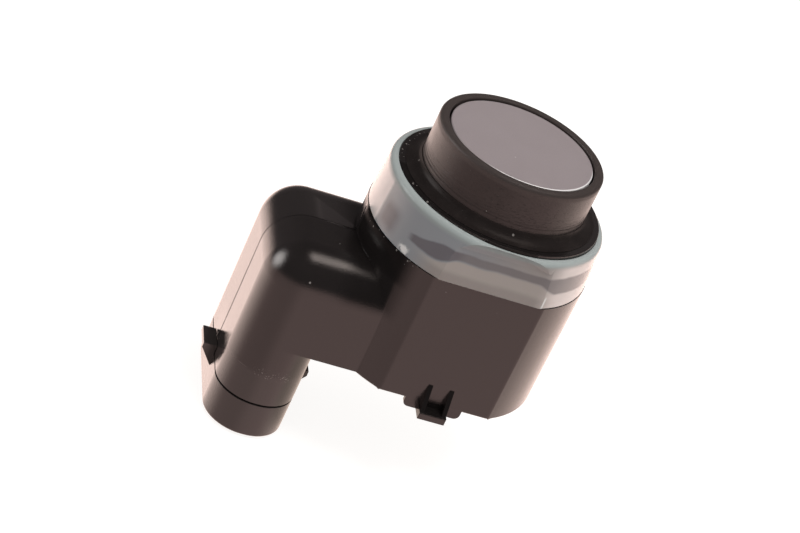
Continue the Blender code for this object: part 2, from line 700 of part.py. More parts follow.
def make_signal_chip(finish):
    """A flat package with a row of bent legs along each long side."""
    length, width = CHIP_LENGTH, CHIP_WIDTH
    x, y = CHIP_X, CHIP_Y
    top = BOARD_BOTTOM - FIT - CHIP_LEG_THICKNESS
    bottom = top - CHIP_HEIGHT
    chip = make_object("signal_chip", block(x - length / 2, x + length / 2, y - width / 2, y + width / 2,
                                            bottom, top), finish)
    pitch = length / CHIP_LEGS
    for side in (-1, 1):
        for leg in range(CHIP_LEGS):
            middle = x - length / 2 + pitch * (leg + 0.5)
            inner = y + side * (width / 2 - CHIP_LEG_THICKNESS)
            outer = y + side * (width / 2 + CHIP_LEG_REACH)
            knee = y + side * (width / 2 + CHIP_LEG_REACH / 2)
            mid = (top + bottom) / 2
            half = CHIP_LEG_THICKNESS / 2
            foot = BOARD_BOTTOM - FIT
            outline = [(inner, mid - half), (knee + side * half, mid - half),
                       (knee + side * half, foot - 2 * half), (outer, foot - 2 * half), (outer, foot),
                       (knee - side * half, foot), (knee - side * half, mid + half), (inner, mid + half)]
            mesh = bmesh.new()
            rows = [[mesh.verts.new((middle + shift, py, pz)) for py, pz in outline]
                    for shift in (-CHIP_LEG_WIDTH / 2, CHIP_LEG_WIDTH / 2)]
            mesh.faces.new(rows[0])
            mesh.faces.new(list(reversed(rows[1])))
            for i in range(len(outline)):
                j = (i + 1) % len(outline)
                mesh.faces.new((rows[0][j], rows[0][i], rows[1][i], rows[1][j]))
            union(chip, mesh, f"guide_leg_{leg}_{side + 1}")
    return chip


def make_storage_capacitor(finish):
    top = BOARD_BOTTOM - FIT
    bottom = top - CAN_HEIGHT
    groove_top = top - CAN_GROOVE_DROP
    profile = [(0.0, top), (CAN_RADIUS, top), (CAN_RADIUS, groove_top),
               (CAN_RADIUS - CAN_GROOVE_DEPTH, groove_top - CAN_GROOVE_HEIGHT / 2),
               (CAN_RADIUS, groove_top - CAN_GROOVE_HEIGHT),
               (CAN_RADIUS, bottom + EDGE_ROUND), (CAN_RADIUS - EDGE_ROUND, bottom), (0.0, bottom)]
    return make_object("storage_capacitor", revolve(profile, (CAN_X, CAN_Y), 32), finish)


def make_small_parts(ceramic, resistor):
    """Chip parts on top of the board: a body a little narrower than its two end caps."""
    rows = [("ceramic_capacitor", CERAMIC_X, CAVITY_FLAT - CERAMIC_INSET, ceramic),
            ("resistor", RESISTOR_X, RESISTOR_INSET - CAVITY_FLAT, resistor)]
    half_x = SMALL_LENGTH / 2
    half_y = SMALL_WIDTH / 2
    step = SMALL_CAP_STEP
    low = BOARD_TOP + FIT
    high = low + SMALL_HEIGHT
    for name, first_x, y, finish in rows:
        for number in range(2):
            x = first_x + number * SMALL_SPACING
            body = block(x - half_x + step, x + half_x - step, y - half_y + step, y + half_y - step,
                         low + step, high - step)
            made = make_object(f"{name}_{number + 1}", body, finish)
            for side in (-1, 1):
                ends = sorted((x + side * half_x, x + side * (half_x - SMALL_CAP_LENGTH)))
                cap = block(ends[0], ends[1], y - half_y, y + half_y, low, high)
                union(made, cap, f"guide_{name}_{number}_{side + 1}")


def make_contact_pins(finish):
    """Square pins, tapered at the tip, that rise from the socket, turn along the arm and up to the board."""
    half = PIN_THICKNESS / 2
    tail_top = BOARD_TOP + PIN_TAIL_ABOVE_BOARD
    level = PIN_LEVEL
    x0 = TUBE_X
    x1 = PIN_TAIL_X
    outline = [(x0 - half / 2, PIN_TIP_Z), (x0 + half / 2, PIN_TIP_Z), (x0 + half, PIN_TIP_Z + PIN_TAPER),
               (x0 + half, level - half), (x1 + half, level - half), (x1 + half, tail_top - half),
               (x1 + half / 2, tail_top), (x1 - half / 2, tail_top), (x1 - half, tail_top - half),
               (x1 - half, level + half), (x0 - half, level + half), (x0 - half, PIN_TIP_Z + PIN_TAPER)]
    for number, y in enumerate(PIN_Y):
        pin = side_prism(outline, y - half, y + half)
        make_object(f"contact_pin_{number + 1}", pin, finish)


def make_contact_carrier(finish):
    """The block over the socket's end wall, with a square hole for each pin."""
    left = TUNNEL_LEFT + FIT
    right = TUBE_X + CARRIER_PAST_PINS
    low = TUNNEL_BOTTOM + FIT
    high = CARRIER_TOP
    outline = rounded_box((left + right) / 2, (right - left) / 2, TUNNEL_HALF_Y - FIT,
                          TUNNEL_ROUND - FIT, FILLET)
    carrier = make_object("contact_carrier", prism(outline, low, high), finish)
    half = PIN_THICKNESS / 2 + FIT
    for number, y in enumerate(PIN_Y):
        hole = block(TUBE_X - half, TUBE_X + half, y - half, y + half, low - OVERRUN, high + OVERRUN)
        cut(carrier, hole, f"cut_carrier_hole_{number + 1}")
    return carrier


def make_rear_cover(finish):
    low = BODY_BOTTOM + COVER_SET_BACK
    plate = flatted(BODY_RADIUS - COVER_LEDGE - FIT, BODY_FLAT - COVER_LEDGE - FIT)
    cover = make_object("rear_cover", prism(plate, low, COVER_TOP), finish)
    for number, (x, y) in enumerate(post_places()):
        leg = post(x, y, COVER_TOP - COVER_THICKNESS / 2, BOARD_BOTTOM - FIT)
        union(cover, leg, f"guide_cover_post_{number}")
    return cover


def build():
    clear_scene()
    plastic = material("black_plastic", (0.030, 0.027, 0.026), 0.45)
    rubber = material("black_rubber", (0.022, 0.020, 0.019), 0.6)
    silicone = material("pale_silicone", (0.55, 0.58, 0.58), 0.35)
    aluminium = material("painted_face", (0.28, 0.265, 0.27), 0.5, 0.3)
    inner_plastic = material("grey_plastic", (0.10, 0.10, 0.11), 0.5)
    ceramic = material("ceramic", (0.60, 0.55, 0.42), 0.6)
    felt = material("felt", (0.30, 0.28, 0.25), 0.95)
    filler = material("filler", (0.50, 0.20, 0.15), 0.6)
    board_green = material("board_green", (0.02, 0.12, 0.06), 0.4)
    ferrite = material("ferrite", (0.05, 0.05, 0.055), 0.5)
    copper = material("copper_wire", (0.55, 0.22, 0.10), 0.35, 1.0)
    chip_black = material("chip_black", (0.02, 0.02, 0.02), 0.5)
    can = material("can_metal", (0.60, 0.60, 0.62), 0.3, 1.0)
    tin = material("tinned_brass", (0.62, 0.60, 0.55), 0.3, 1.0)
    make_housing(plastic)
    make_socket_collar(plastic)
    make_seal_ring(silicone)
    make_decoupling_ring(rubber)
    make_diaphragm_cup(aluminium)
    back_of_piezo = make_cup_fillings(ceramic, felt, filler)
    make_leads(tin, back_of_piezo)
    make_ring_retainer(inner_plastic)
    make_circuit_board(board_green)
    make_transformer(ferrite, copper)
    make_signal_chip(chip_black)
    make_storage_capacitor(can)
    make_small_parts(ceramic, chip_black)
    make_contact_pins(tin)
    make_contact_carrier(inner_plastic)
    make_rear_cover(plastic)


build()
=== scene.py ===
# %% [markdown]
# # A parking sensor
#
# The sensor sits behind a bumper and listens for echoes. Its parts are few, so each surface has to carry its own
# story: glossy moulded plastic, a rubber sleeve, a milky silicone ring and a painted metal face.
# The model of its solids is loaded first. It gives every size and place that follows, so nothing is fitted by eye.

# %% Load the solids
import math

import bmesh
import bpy
from mathutils import Matrix, Vector


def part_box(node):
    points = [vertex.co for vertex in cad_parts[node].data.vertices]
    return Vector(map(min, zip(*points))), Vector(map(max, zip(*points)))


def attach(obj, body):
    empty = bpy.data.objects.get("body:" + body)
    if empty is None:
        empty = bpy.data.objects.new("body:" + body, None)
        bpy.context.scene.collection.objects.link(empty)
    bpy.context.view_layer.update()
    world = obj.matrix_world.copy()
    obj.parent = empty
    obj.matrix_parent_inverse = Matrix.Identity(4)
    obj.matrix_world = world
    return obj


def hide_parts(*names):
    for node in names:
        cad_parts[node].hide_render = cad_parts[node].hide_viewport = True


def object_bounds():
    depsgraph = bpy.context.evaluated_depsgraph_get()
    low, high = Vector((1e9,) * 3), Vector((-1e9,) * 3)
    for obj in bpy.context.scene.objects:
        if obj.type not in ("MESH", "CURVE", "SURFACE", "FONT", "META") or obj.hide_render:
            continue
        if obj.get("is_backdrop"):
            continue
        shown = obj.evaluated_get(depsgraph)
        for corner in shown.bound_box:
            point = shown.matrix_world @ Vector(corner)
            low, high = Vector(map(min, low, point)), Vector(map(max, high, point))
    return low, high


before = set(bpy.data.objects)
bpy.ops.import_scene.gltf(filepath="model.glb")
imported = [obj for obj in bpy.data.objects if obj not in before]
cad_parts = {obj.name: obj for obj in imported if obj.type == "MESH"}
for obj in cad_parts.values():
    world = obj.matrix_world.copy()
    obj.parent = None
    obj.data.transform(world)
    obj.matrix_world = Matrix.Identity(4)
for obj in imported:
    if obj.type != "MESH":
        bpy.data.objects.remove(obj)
solids_box = [list(corner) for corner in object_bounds()]
print("solids from", solids_box[0], "to", solids_box[1])

# %% [markdown]
# ## Sizes
#
# Sizes are in metres. Most are read from the boxes of the solids, because a measured size can't drift away from
# its neighbour. A few that no box shows, such as a wall or a rounding, are written here once.

# %% Read the sizes
MM = 0.001
housing_low, housing_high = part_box("housing")
ring_low, ring_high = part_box("seal_ring")
sleeve_low, sleeve_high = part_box("decoupling_ring")
cup_low, cup_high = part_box("diaphragm_cup")
socket_low, socket_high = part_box("socket_collar")
cover_low, cover_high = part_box("rear_cover")
retainer_low, retainer_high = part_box("ring_retainer")
pin_low, pin_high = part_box("contact_pin_1")

FIT = 0.3 * MM
OVERRUN = 1.0 * MM
BODY_RADIUS = housing_high.x
CAVITY_RADIUS = retainer_high.x + FIT
CAVITY_FLAT = retainer_high.y + FIT
BODY_FLAT = CAVITY_FLAT + BODY_RADIUS - CAVITY_RADIUS
FOOT_Z = cover_low.z - 0.1 * MM
SHOULDER_Z = ring_low.z - FIT
FLANGE_Z = housing_high.z
TUBE_X = pin_low.x + (pin_high.y - pin_low.y) / 2
TUBE_HALF_X = TUBE_X - housing_low.x
TUBE_HALF_Y = socket_high.y
TUBE_ROUND = TUBE_HALF_X - 0.15 * MM
SPIGOT_LENGTH = 1.6 * MM
SEAM_Z = housing_low.z + SPIGOT_LENGTH
RIM_Z = socket_low.z
ARM_HEIGHT = 11.14 * MM
ARM_TOP = FOOT_Z + ARM_HEIGHT
ARM_FOOT = FOOT_Z + 0.1 * MM
SOCKET_WALL = 1.2 * MM
SOCKET_TOP = FOOT_Z - 1.5 * MM
print(f"body {BODY_RADIUS / MM:.2f} mm in radius, foot at {FOOT_Z / MM:.2f} mm, tube at x = {TUBE_X / MM:.2f} mm")

# %% [markdown]
# ## Camera
#
# A small product is photographed from far off with a long lens, which keeps its verticals nearly parallel.
# The camera stands to the left of the flat side and looks down on the disc. It is rolled, because the sensor
# stands aslant in the picture. Three angles, a distance and a focal length say all of that.

# %% Place the camera
IMAGE_WIDTH = 800
FOCAL_LENGTH_PIXELS = 2622.4
CAMERA_AZIMUTH = math.radians(-18.097)
CAMERA_ELEVATION = math.radians(29.276)
CAMERA_ROLL = math.radians(25.464)
CAMERA_DISTANCE = 263.33 * MM
AIM_RIGHT = -12.303 * MM
AIM_UP = -12.209 * MM


def camera_axes():
    back = Vector((math.sin(CAMERA_AZIMUTH) * math.cos(CAMERA_ELEVATION),
                   -math.cos(CAMERA_AZIMUTH) * math.cos(CAMERA_ELEVATION), math.sin(CAMERA_ELEVATION)))
    level = Vector((math.cos(CAMERA_AZIMUTH), math.sin(CAMERA_AZIMUTH), 0.0))
    upright = back.cross(level)
    right = level * math.cos(CAMERA_ROLL) + upright * math.sin(CAMERA_ROLL)
    up = upright * math.cos(CAMERA_ROLL) - level * math.sin(CAMERA_ROLL)
    return right, up, back


def place_camera():
    right, up, back = camera_axes()
    eye = right * AIM_RIGHT + up * AIM_UP + back * CAMERA_DISTANCE
    data = bpy.data.cameras.new("camera")
    data.sensor_width = 36.0
    data.lens = FOCAL_LENGTH_PIXELS / IMAGE_WIDTH * data.sensor_width
    data.clip_start = 0.01
    camera = bpy.data.objects.new("camera", data)
    bpy.context.scene.collection.objects.link(camera)
    camera.matrix_world = Matrix((right, up, back)).transposed().to_4x4()
    camera.matrix_world.translation = eye
    bpy.context.scene.camera = camera
    print(f"camera {CAMERA_DISTANCE / MM:.0f} mm away with a {data.lens:.0f} mm lens")


place_camera()
bpy.context.scene.view_settings.view_transform = "Standard"

# %% [markdown]
# ## Floor
#
# A white surface under the object gives a white background and a soft bounce from below. It is mostly a glow that
# only the camera and glass see, and partly a plain matt white that can still hold a shadow. Mirrors don't see it.
# It is clear from underneath, so that the socket can be looked at too.

# %% Lay the floor
FLOOR_SIZE = 3.0
FLOOR_GAP = 0.3 * MM
FLOOR_GLOW = 0.90
FLOOR_WHITE = 0.30


def link(tree, source, target):
    tree.links.new(source, target)


def fresh_tree(owner):
    owner.use_nodes = True
    owner.node_tree.nodes.clear()
    return owner.node_tree


def seen_directly(tree):
    """1 for rays from the camera, and for those that come by a mirror or through glass."""
    path = tree.nodes.new("ShaderNodeLightPath")
    total = path.outputs["Is Camera Ray"]
    for name in ("Is Glossy Ray", "Is Transmission Ray"):
        larger = tree.nodes.new("ShaderNodeMath")
        larger.operation = "MAXIMUM"
        link(tree, total, larger.inputs[0])
        link(tree, path.outputs[name], larger.inputs[1])
        total = larger.outputs[0]
    return total


def lay_floor():
    material = bpy.data.materials.new("floor_white")
    tree = fresh_tree(material)
    matt = tree.nodes.new("ShaderNodeBsdfDiffuse")
    matt.inputs["Color"].default_value = (FLOOR_WHITE, FLOOR_WHITE, FLOOR_WHITE, 1.0)
    glow = tree.nodes.new("ShaderNodeEmission")
    glow.inputs["Color"].default_value = (1.0, 0.985, 0.97, 1.0)
    strength = tree.nodes.new("ShaderNodeMath")
    strength.operation = "MULTIPLY"
    link(tree, seen_directly(tree), strength.inputs[0])
    strength.inputs[1].default_value = FLOOR_GLOW
    link(tree, strength.outputs[0], glow.inputs["Strength"])
    both = tree.nodes.new("ShaderNodeAddShader")
    link(tree, matt.outputs[0], both.inputs[0])
    link(tree, glow.outputs[0], both.inputs[1])
    clear = tree.nodes.new("ShaderNodeBsdfTransparent")
    side = tree.nodes.new("ShaderNodeNewGeometry")
    choice = tree.nodes.new("ShaderNodeMixShader")
    link(tree, side.outputs["Backfacing"], choice.inputs[0])
    link(tree, both.outputs[0], choice.inputs[1])
    link(tree, clear.outputs[0], choice.inputs[2])
    output = tree.nodes.new("ShaderNodeOutputMaterial")
    link(tree, choice.outputs[0], output.inputs["Surface"])
    bpy.ops.mesh.primitive_plane_add(size=FLOOR_SIZE, location=(0.0, 0.0, RIM_Z - FLOOR_GAP))
    floor = bpy.context.object
    floor.name = "floor"
    floor.data.materials.append(material)
    floor.visible_glossy = False
    floor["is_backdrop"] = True
    print(f"floor {FLOOR_GAP / MM:.1f} mm under the socket's rim")


lay_floor()

# %% [markdown]
# ## Light
#
# Black plastic has hardly any colour of its own: what is seen is the room in it. So the room is what has to be
# built. It is bright below and behind, where the white sweep of the set curves up, and dark above, so that level
# faces stay black and upright ones turn a warm grey. Two small panels, one overhead and one far to the left, are
# the highlights on the arm's round edges. One soft lamp from above lights what is not shiny, such as the disc.

# %% Paint the room and hang the lamp
ROOM_LIGHT = (0.62, 0.60, 0.59)
LEFT_SWEEP = (1.20, 0.84, 0.78)
RIGHT_SWEEP = (1.62, 1.14, 1.06)
BACK_LEFT_SWEEP = (2.80, 2.16, 1.94)
BACK_RIGHT_SWEEP = (1.94, 1.50, 1.34)
CEILING = (0.175, 0.146, 0.144)
PANELS = (
    (Vector((0.24, -0.02, 0.97)), 23.0, (6.0, 5.2, 4.8)),
    (Vector((-0.955, 0.235, 0.22)), 32.0, (7.4, 7.0, 6.8)),
)
LAMP_DIRECTION = Vector((0.20, -0.25, 0.95)).normalized()
LAMP_DISTANCE = 0.45
LAMP_SIZE = 0.20
LAMP_WATTS = 0.85
SHADE_RADIUS = 16.0 * MM
SHADE_COLOUR = (1.25, 0.98, 0.84)


def ramp_between(tree, value, low, high):
    """0 below low, 1 above high, and a smooth step between them."""
    step = tree.nodes.new("ShaderNodeMapRange")
    step.interpolation_type = "SMOOTHSTEP"
    step.inputs["From Min"].default_value = low
    step.inputs["From Max"].default_value = high
    link(tree, value, step.inputs["Value"])
    return step.outputs["Result"]


def along(tree, vector, way):
    """How far a vector goes along a way."""
    node = tree.nodes.new("ShaderNodeVectorMath")
    node.operation = "DOT_PRODUCT"
    link(tree, vector, node.inputs[0])
    node.inputs[1].default_value = way
    return node.outputs["Value"]


def mix_colours(tree, factor, first, second):
    """first and second are sockets or plain colours."""
    mix = tree.nodes.new("ShaderNodeMix")
    mix.data_type = "RGBA"
    if isinstance(factor, float):
        mix.inputs["Factor"].default_value = factor
    else:
        link(tree, factor, mix.inputs["Factor"])
    for colour, socket in ((first, mix.inputs[6]), (second, mix.inputs[7])):
        if isinstance(colour, tuple):
            socket.default_value = (*colour[:3], 1.0)
        else:
            link(tree, colour, socket)
    return mix.outputs[2]


def paint_room():
    world = bpy.data.worlds.new("studio")
    bpy.context.scene.world = world
    tree = fresh_tree(world)
    way = tree.nodes.new("ShaderNodeTexCoord").outputs["Generated"]
    to_right = ramp_between(tree, along(tree, way, (1.0, 0.0, 0.0)), -0.35, 0.30)
    behind = ramp_between(tree, along(tree, way, (0.25, 1.0, 0.0)), -0.42, 0.30)
    above = ramp_between(tree, along(tree, way, (0.05, 0.10, 1.0)), -0.28, 0.06)
    front = mix_colours(tree, to_right, LEFT_SWEEP, RIGHT_SWEEP)
    back = mix_colours(tree, to_right, BACK_LEFT_SWEEP, BACK_RIGHT_SWEEP)
    sweep = mix_colours(tree, behind, front, back)
    mirrored = mix_colours(tree, above, sweep, CEILING)
    for aim, spread, colour in PANELS:
        facing = along(tree, way, aim.normalized())
        patch = ramp_between(tree, facing, math.cos(math.radians(spread)), 1.0)
        peak = tree.nodes.new("ShaderNodeMath")
        peak.operation = "POWER"
        link(tree, patch, peak.inputs[0])
        peak.inputs[1].default_value = 4.0
        mirrored = mix_colours(tree, peak.outputs[0], mirrored, colour)
    path = tree.nodes.new("ShaderNodeLightPath")
    lit_or_mirrored = mix_colours(tree, path.outputs["Is Glossy Ray"], ROOM_LIGHT, mirrored)
    white = tree.nodes.new("ShaderNodeMath")
    white.operation = "MAXIMUM"
    link(tree, path.outputs["Is Camera Ray"], white.inputs[0])
    link(tree, path.outputs["Is Transmission Ray"], white.inputs[1])
    colour = mix_colours(tree, white.outputs[0], lit_or_mirrored, (1.0, 1.0, 1.0))
    background = tree.nodes.new("ShaderNodeBackground")
    link(tree, colour, background.inputs["Color"])
    output = tree.nodes.new("ShaderNodeOutputWorld")
    link(tree, background.outputs[0], output.inputs["Surface"])


def hang_lamp():
    data = bpy.data.lights.new("top_lamp", "AREA")
    data.shape = "DISK"
    data.size = LAMP_SIZE
    data.energy = LAMP_WATTS
    data.color = (1.0, 0.97, 0.95)
    lamp = bpy.data.objects.new("top_lamp", data)
    bpy.context.scene.collection.objects.link(lamp)
    lamp.location = LAMP_DIRECTION * LAMP_DISTANCE
    lamp.rotation_euler = LAMP_DIRECTION.to_track_quat("Z", "Y").to_euler()
    lamp.visible_glossy = False


def lay_shade():
    """The shadow under the body, as the shiny tube mirrors it. No other ray sees it."""
    material = bpy.data.materials.new("floor_shade")
    tree = fresh_tree(material)
    place = tree.nodes.new("ShaderNodeTexCoord").outputs["Object"]
    length = tree.nodes.new("ShaderNodeVectorMath")
    length.operation = "LENGTH"
    link(tree, place, length.inputs[0])
    fade = ramp_between(tree, length.outputs["Value"], 0.7 * SHADE_RADIUS, SHADE_RADIUS)
    dim = tree.nodes.new("ShaderNodeEmission")
    dim.inputs["Color"].default_value = (*SHADE_COLOUR, 1.0)
    clear = tree.nodes.new("ShaderNodeBsdfTransparent")
    choice = tree.nodes.new("ShaderNodeMixShader")
    link(tree, fade, choice.inputs[0])
    link(tree, dim.outputs[0], choice.inputs[1])
    link(tree, clear.outputs[0], choice.inputs[2])
    output = tree.nodes.new("ShaderNodeOutputMaterial")
    link(tree, choice.outputs[0], output.inputs["Surface"])
    bpy.ops.mesh.primitive_plane_add(size=2 * SHADE_RADIUS, location=(0.0, 0.0, RIM_Z - 0.5 * FLOOR_GAP))
    shade = bpy.context.object
    shade.name = "floor_shade"
    shade.data.materials.append(material)
    for ray in ("camera", "diffuse", "transmission", "shadow", "volume_scatter"):
        setattr(shade, "visible_" + ray, False)
    shade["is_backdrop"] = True


paint_room()
hang_lamp()
lay_shade()
print("room, lamp and shade in place")

# %% [markdown]
# ## Effects that several finishes share
#
# Three small node groups hold them. Each gives out a plain value, and the finish decides what to do with it.
# Grain is the fine tooth of a moulded or painted skin. Specks are dust and tiny nicks: a few cells of a pattern
# of random cells, cut down to dots. Scratches are noise stretched along one way and cut to its crests.

# %% Build the shared groups
def new_group(name, inputs, outputs):
    group = bpy.data.node_groups.new(name, "ShaderNodeTree")
    for label, value in inputs.items():
        kind = "NodeSocketVector" if value is None else "NodeSocketFloat"
        socket = group.interface.new_socket(name=label, in_out="INPUT", socket_type=kind)
        if value is not None:
            socket.default_value = value
    for label in outputs:
        group.interface.new_socket(name=label, in_out="OUTPUT", socket_type="NodeSocketFloat")
    return group, group.nodes.new("NodeGroupInput"), group.nodes.new("NodeGroupOutput")


def arithmetic(tree, operation, first, second):
    node = tree.nodes.new("ShaderNodeMath")
    node.operation = operation
    for value, socket in ((first, node.inputs[0]), (second, node.inputs[1])):
        if isinstance(value, (int, float)):
            socket.default_value = value
        else:
            link(tree, value, socket)
    return node.outputs[0]


def build_grain():
    group, given, result = new_group("grain", {"Position": None, "Grain per mm": 8.0, "Broad share": 0.3}, ["Height"])
    fine_scale = arithmetic(group, "MULTIPLY", given.outputs["Grain per mm"], 1 / MM)
    fine = group.nodes.new("ShaderNodeTexNoise")
    fine.inputs["Detail"].default_value = 3.0
    link(group, given.outputs["Position"], fine.inputs["Vector"])
    link(group, fine_scale, fine.inputs["Scale"])
    broad = group.nodes.new("ShaderNodeTexNoise")
    broad.inputs["Detail"].default_value = 2.0
    link(group, given.outputs["Position"], broad.inputs["Vector"])
    link(group, arithmetic(group, "MULTIPLY", fine_scale, 0.05), broad.inputs["Scale"])
    mixed = group.nodes.new("ShaderNodeMix")
    link(group, given.outputs["Broad share"], mixed.inputs["Factor"])
    link(group, fine.outputs["Fac"], mixed.inputs[2])
    link(group, broad.outputs["Fac"], mixed.inputs[3])
    link(group, mixed.outputs[0], result.inputs["Height"])
    return group


def build_specks():
    group, given, result = new_group(
        "specks", {"Position": None, "Cells per mm": 1.0, "Share": 0.1, "Size": 0.12}, ["Mask"])
    cells = group.nodes.new("ShaderNodeTexVoronoi")
    link(group, given.outputs["Position"], cells.inputs["Vector"])
    link(group, arithmetic(group, "MULTIPLY", given.outputs["Cells per mm"], 1 / MM), cells.inputs["Scale"])
    chance = group.nodes.new("ShaderNodeSeparateColor")
    link(group, cells.outputs["Color"], chance.inputs[0])
    picked = arithmetic(group, "LESS_THAN", chance.outputs[0], given.outputs["Share"])
    size = arithmetic(group, "MULTIPLY", given.outputs["Size"], chance.outputs[1])
    dot = arithmetic(group, "LESS_THAN", cells.outputs["Distance"], size)
    link(group, arithmetic(group, "MULTIPLY", picked, dot), result.inputs["Mask"])
    return group


def build_scratches():
    group, given, result = new_group(
        "scratches", {"Position": None, "Lines per mm": 3.0, "Stretch": 12.0, "Threshold": 0.66}, ["Mask"])
    squeeze = group.nodes.new("ShaderNodeCombineXYZ")
    squeeze.inputs["X"].default_value = 1.0
    squeeze.inputs["Z"].default_value = 1.0
    link(group, arithmetic(group, "DIVIDE", 1.0, given.outputs["Stretch"]), squeeze.inputs["Z"])
    squeeze.inputs["Y"].default_value = 1.0
    drawn = group.nodes.new("ShaderNodeVectorMath")
    drawn.operation = "MULTIPLY"
    link(group, given.outputs["Position"], drawn.inputs[0])
    link(group, squeeze.outputs[0], drawn.inputs[1])
    noise = group.nodes.new("ShaderNodeTexNoise")
    noise.inputs["Detail"].default_value = 4.0
    link(group, drawn.outputs[0], noise.inputs["Vector"])
    link(group, arithmetic(group, "MULTIPLY", given.outputs["Lines per mm"], 1 / MM), noise.inputs["Scale"])
    crest = arithmetic(group, "GREATER_THAN", noise.outputs["Fac"], given.outputs["Threshold"])
    link(group, crest, result.inputs["Mask"])
    return group


GROUPS = {"grain": build_grain(), "specks": build_specks(), "scratches": build_scratches()}
print("groups:", ", ".join(GROUPS))

# %% [markdown]
# ## How a finish is put together
#
# Every finish starts from the same few lines: a Principled shader, the position on the piece, and a bump.
# A finish then adds only what makes it different. Numbers that are the same all over go straight on the shader.

# %% Start a finish
class Finish:
    """A material under construction: its tree, its shader and the position on the piece."""

    def __init__(self, name, colour, roughness, metallic=0.0, ior=1.5):
        self.material = bpy.data.materials.new(name)
        self.tree = fresh_tree(self.material)
        self.shader = self.tree.nodes.new("ShaderNodeBsdfPrincipled")
        self.shader.inputs["Base Color"].default_value = (*colour, 1.0)
        self.shader.inputs["Roughness"].default_value = roughness
        self.shader.inputs["Metallic"].default_value = metallic
        self.shader.inputs["IOR"].default_value = ior
        output = self.tree.nodes.new("ShaderNodeOutputMaterial")
        link(self.tree, self.shader.outputs[0], output.inputs["Surface"])
        self.position = self.tree.nodes.new("ShaderNodeTexCoord").outputs["Object"]
        parts = self.tree.nodes.new("ShaderNodeSeparateXYZ")
        link(self.tree, self.position, parts.inputs[0])
        self.x, self.y, self.z = parts.outputs

    def effect(self, name, **values):
        node = self.tree.nodes.new("ShaderNodeGroup")
        node.node_tree = GROUPS[name]
        link(self.tree, self.position, node.inputs["Position"])
        for label, value in values.items():
            node.inputs[label.replace("_", " ")].default_value = value
        return node.outputs[0]

    def noise(self, per_mm, detail=2.0):
        node = self.tree.nodes.new("ShaderNodeTexNoise")
        node.inputs["Scale"].default_value = per_mm / MM
        node.inputs["Detail"].default_value = detail
        link(self.tree, self.position, node.inputs["Vector"])
        return node.outputs["Fac"]

    def math(self, operation, first, second=0.0):
        return arithmetic(self.tree, operation, first, second)

    def step(self, value, low, high):
        return ramp_between(self.tree, value, low, high)

    def band(self, value, middle, half_width):
        """1 at the middle, falling to 0 at half_width on each side."""
        away = self.math("ABSOLUTE", self.math("SUBTRACT", value, middle))
        return self.step(away, half_width, half_width * 0.3)

    def mix(self, factor, first, second):
        return mix_colours(self.tree, factor, first, second)

    def spread(self, value, low, high):
        """Turns a 0 to 1 value into one from low to high."""
        return self.math("ADD", self.math("MULTIPLY", value, high - low), low)

    def set(self, socket, source):
        link(self.tree, source, self.shader.inputs[socket])

    def bump(self, height, depth, strength=1.0):
        node = self.tree.nodes.new("ShaderNodeBump")
        node.inputs["Distance"].default_value = depth
        node.inputs["Strength"].default_value = strength
        link(self.tree, height, node.inputs["Height"])
        link(self.tree, node.outputs["Normal"], self.shader.inputs["Normal"])


# %% [markdown]
# ## Black moulded plastic
#
# Glass-filled nylon straight from a polished mould: deep black, glossy enough to mirror the set, with a fine
# tooth that breaks the highlights into grit. The tube carries a faint ring where the plug's collar has rubbed,
# some pale scuffs in front, and dust sits everywhere in small numbers. Below the rub mark the tube is painted
# a little paler: a painted reflection of the floor close under it. Under the ring, over the arm, on the arm's top
# near the body and on the catches, the gloss is turned down: painted shade, for the darker reflections there.

# %% Black moulded plastic
PLASTIC_COLOUR = (0.0118, 0.0100, 0.0098)
# Colour of the scuffs and the rub ring, and also of the painted floor reflection low on the tube.
SCUFF_AND_SHEEN_COLOUR = (0.20, 0.17, 0.16)
DUST_COLOUR = (0.45, 0.42, 0.40)
RUB_MARK_Z = -29.3 * MM
# Limits of the painted shade on the gloss: under the ring beside the arm, and on the arm's top by the body.
PAINTED_SHADE_LOW = SHOULDER_Z - 4.6 * MM
PAINTED_SHADE_HIGH = SHOULDER_Z - 2.6 * MM
PAINTED_SHADE_LEFT = -9.0 * MM
PAINTED_SHADE_RIGHT = -7.0 * MM
ARM_SHADE_LEFT = -14.6 * MM
ARM_SHADE_RIGHT = -11.8 * MM
SCUFF_PLACE = Vector((-16.0 * MM, -8.7 * MM, -29.2 * MM))


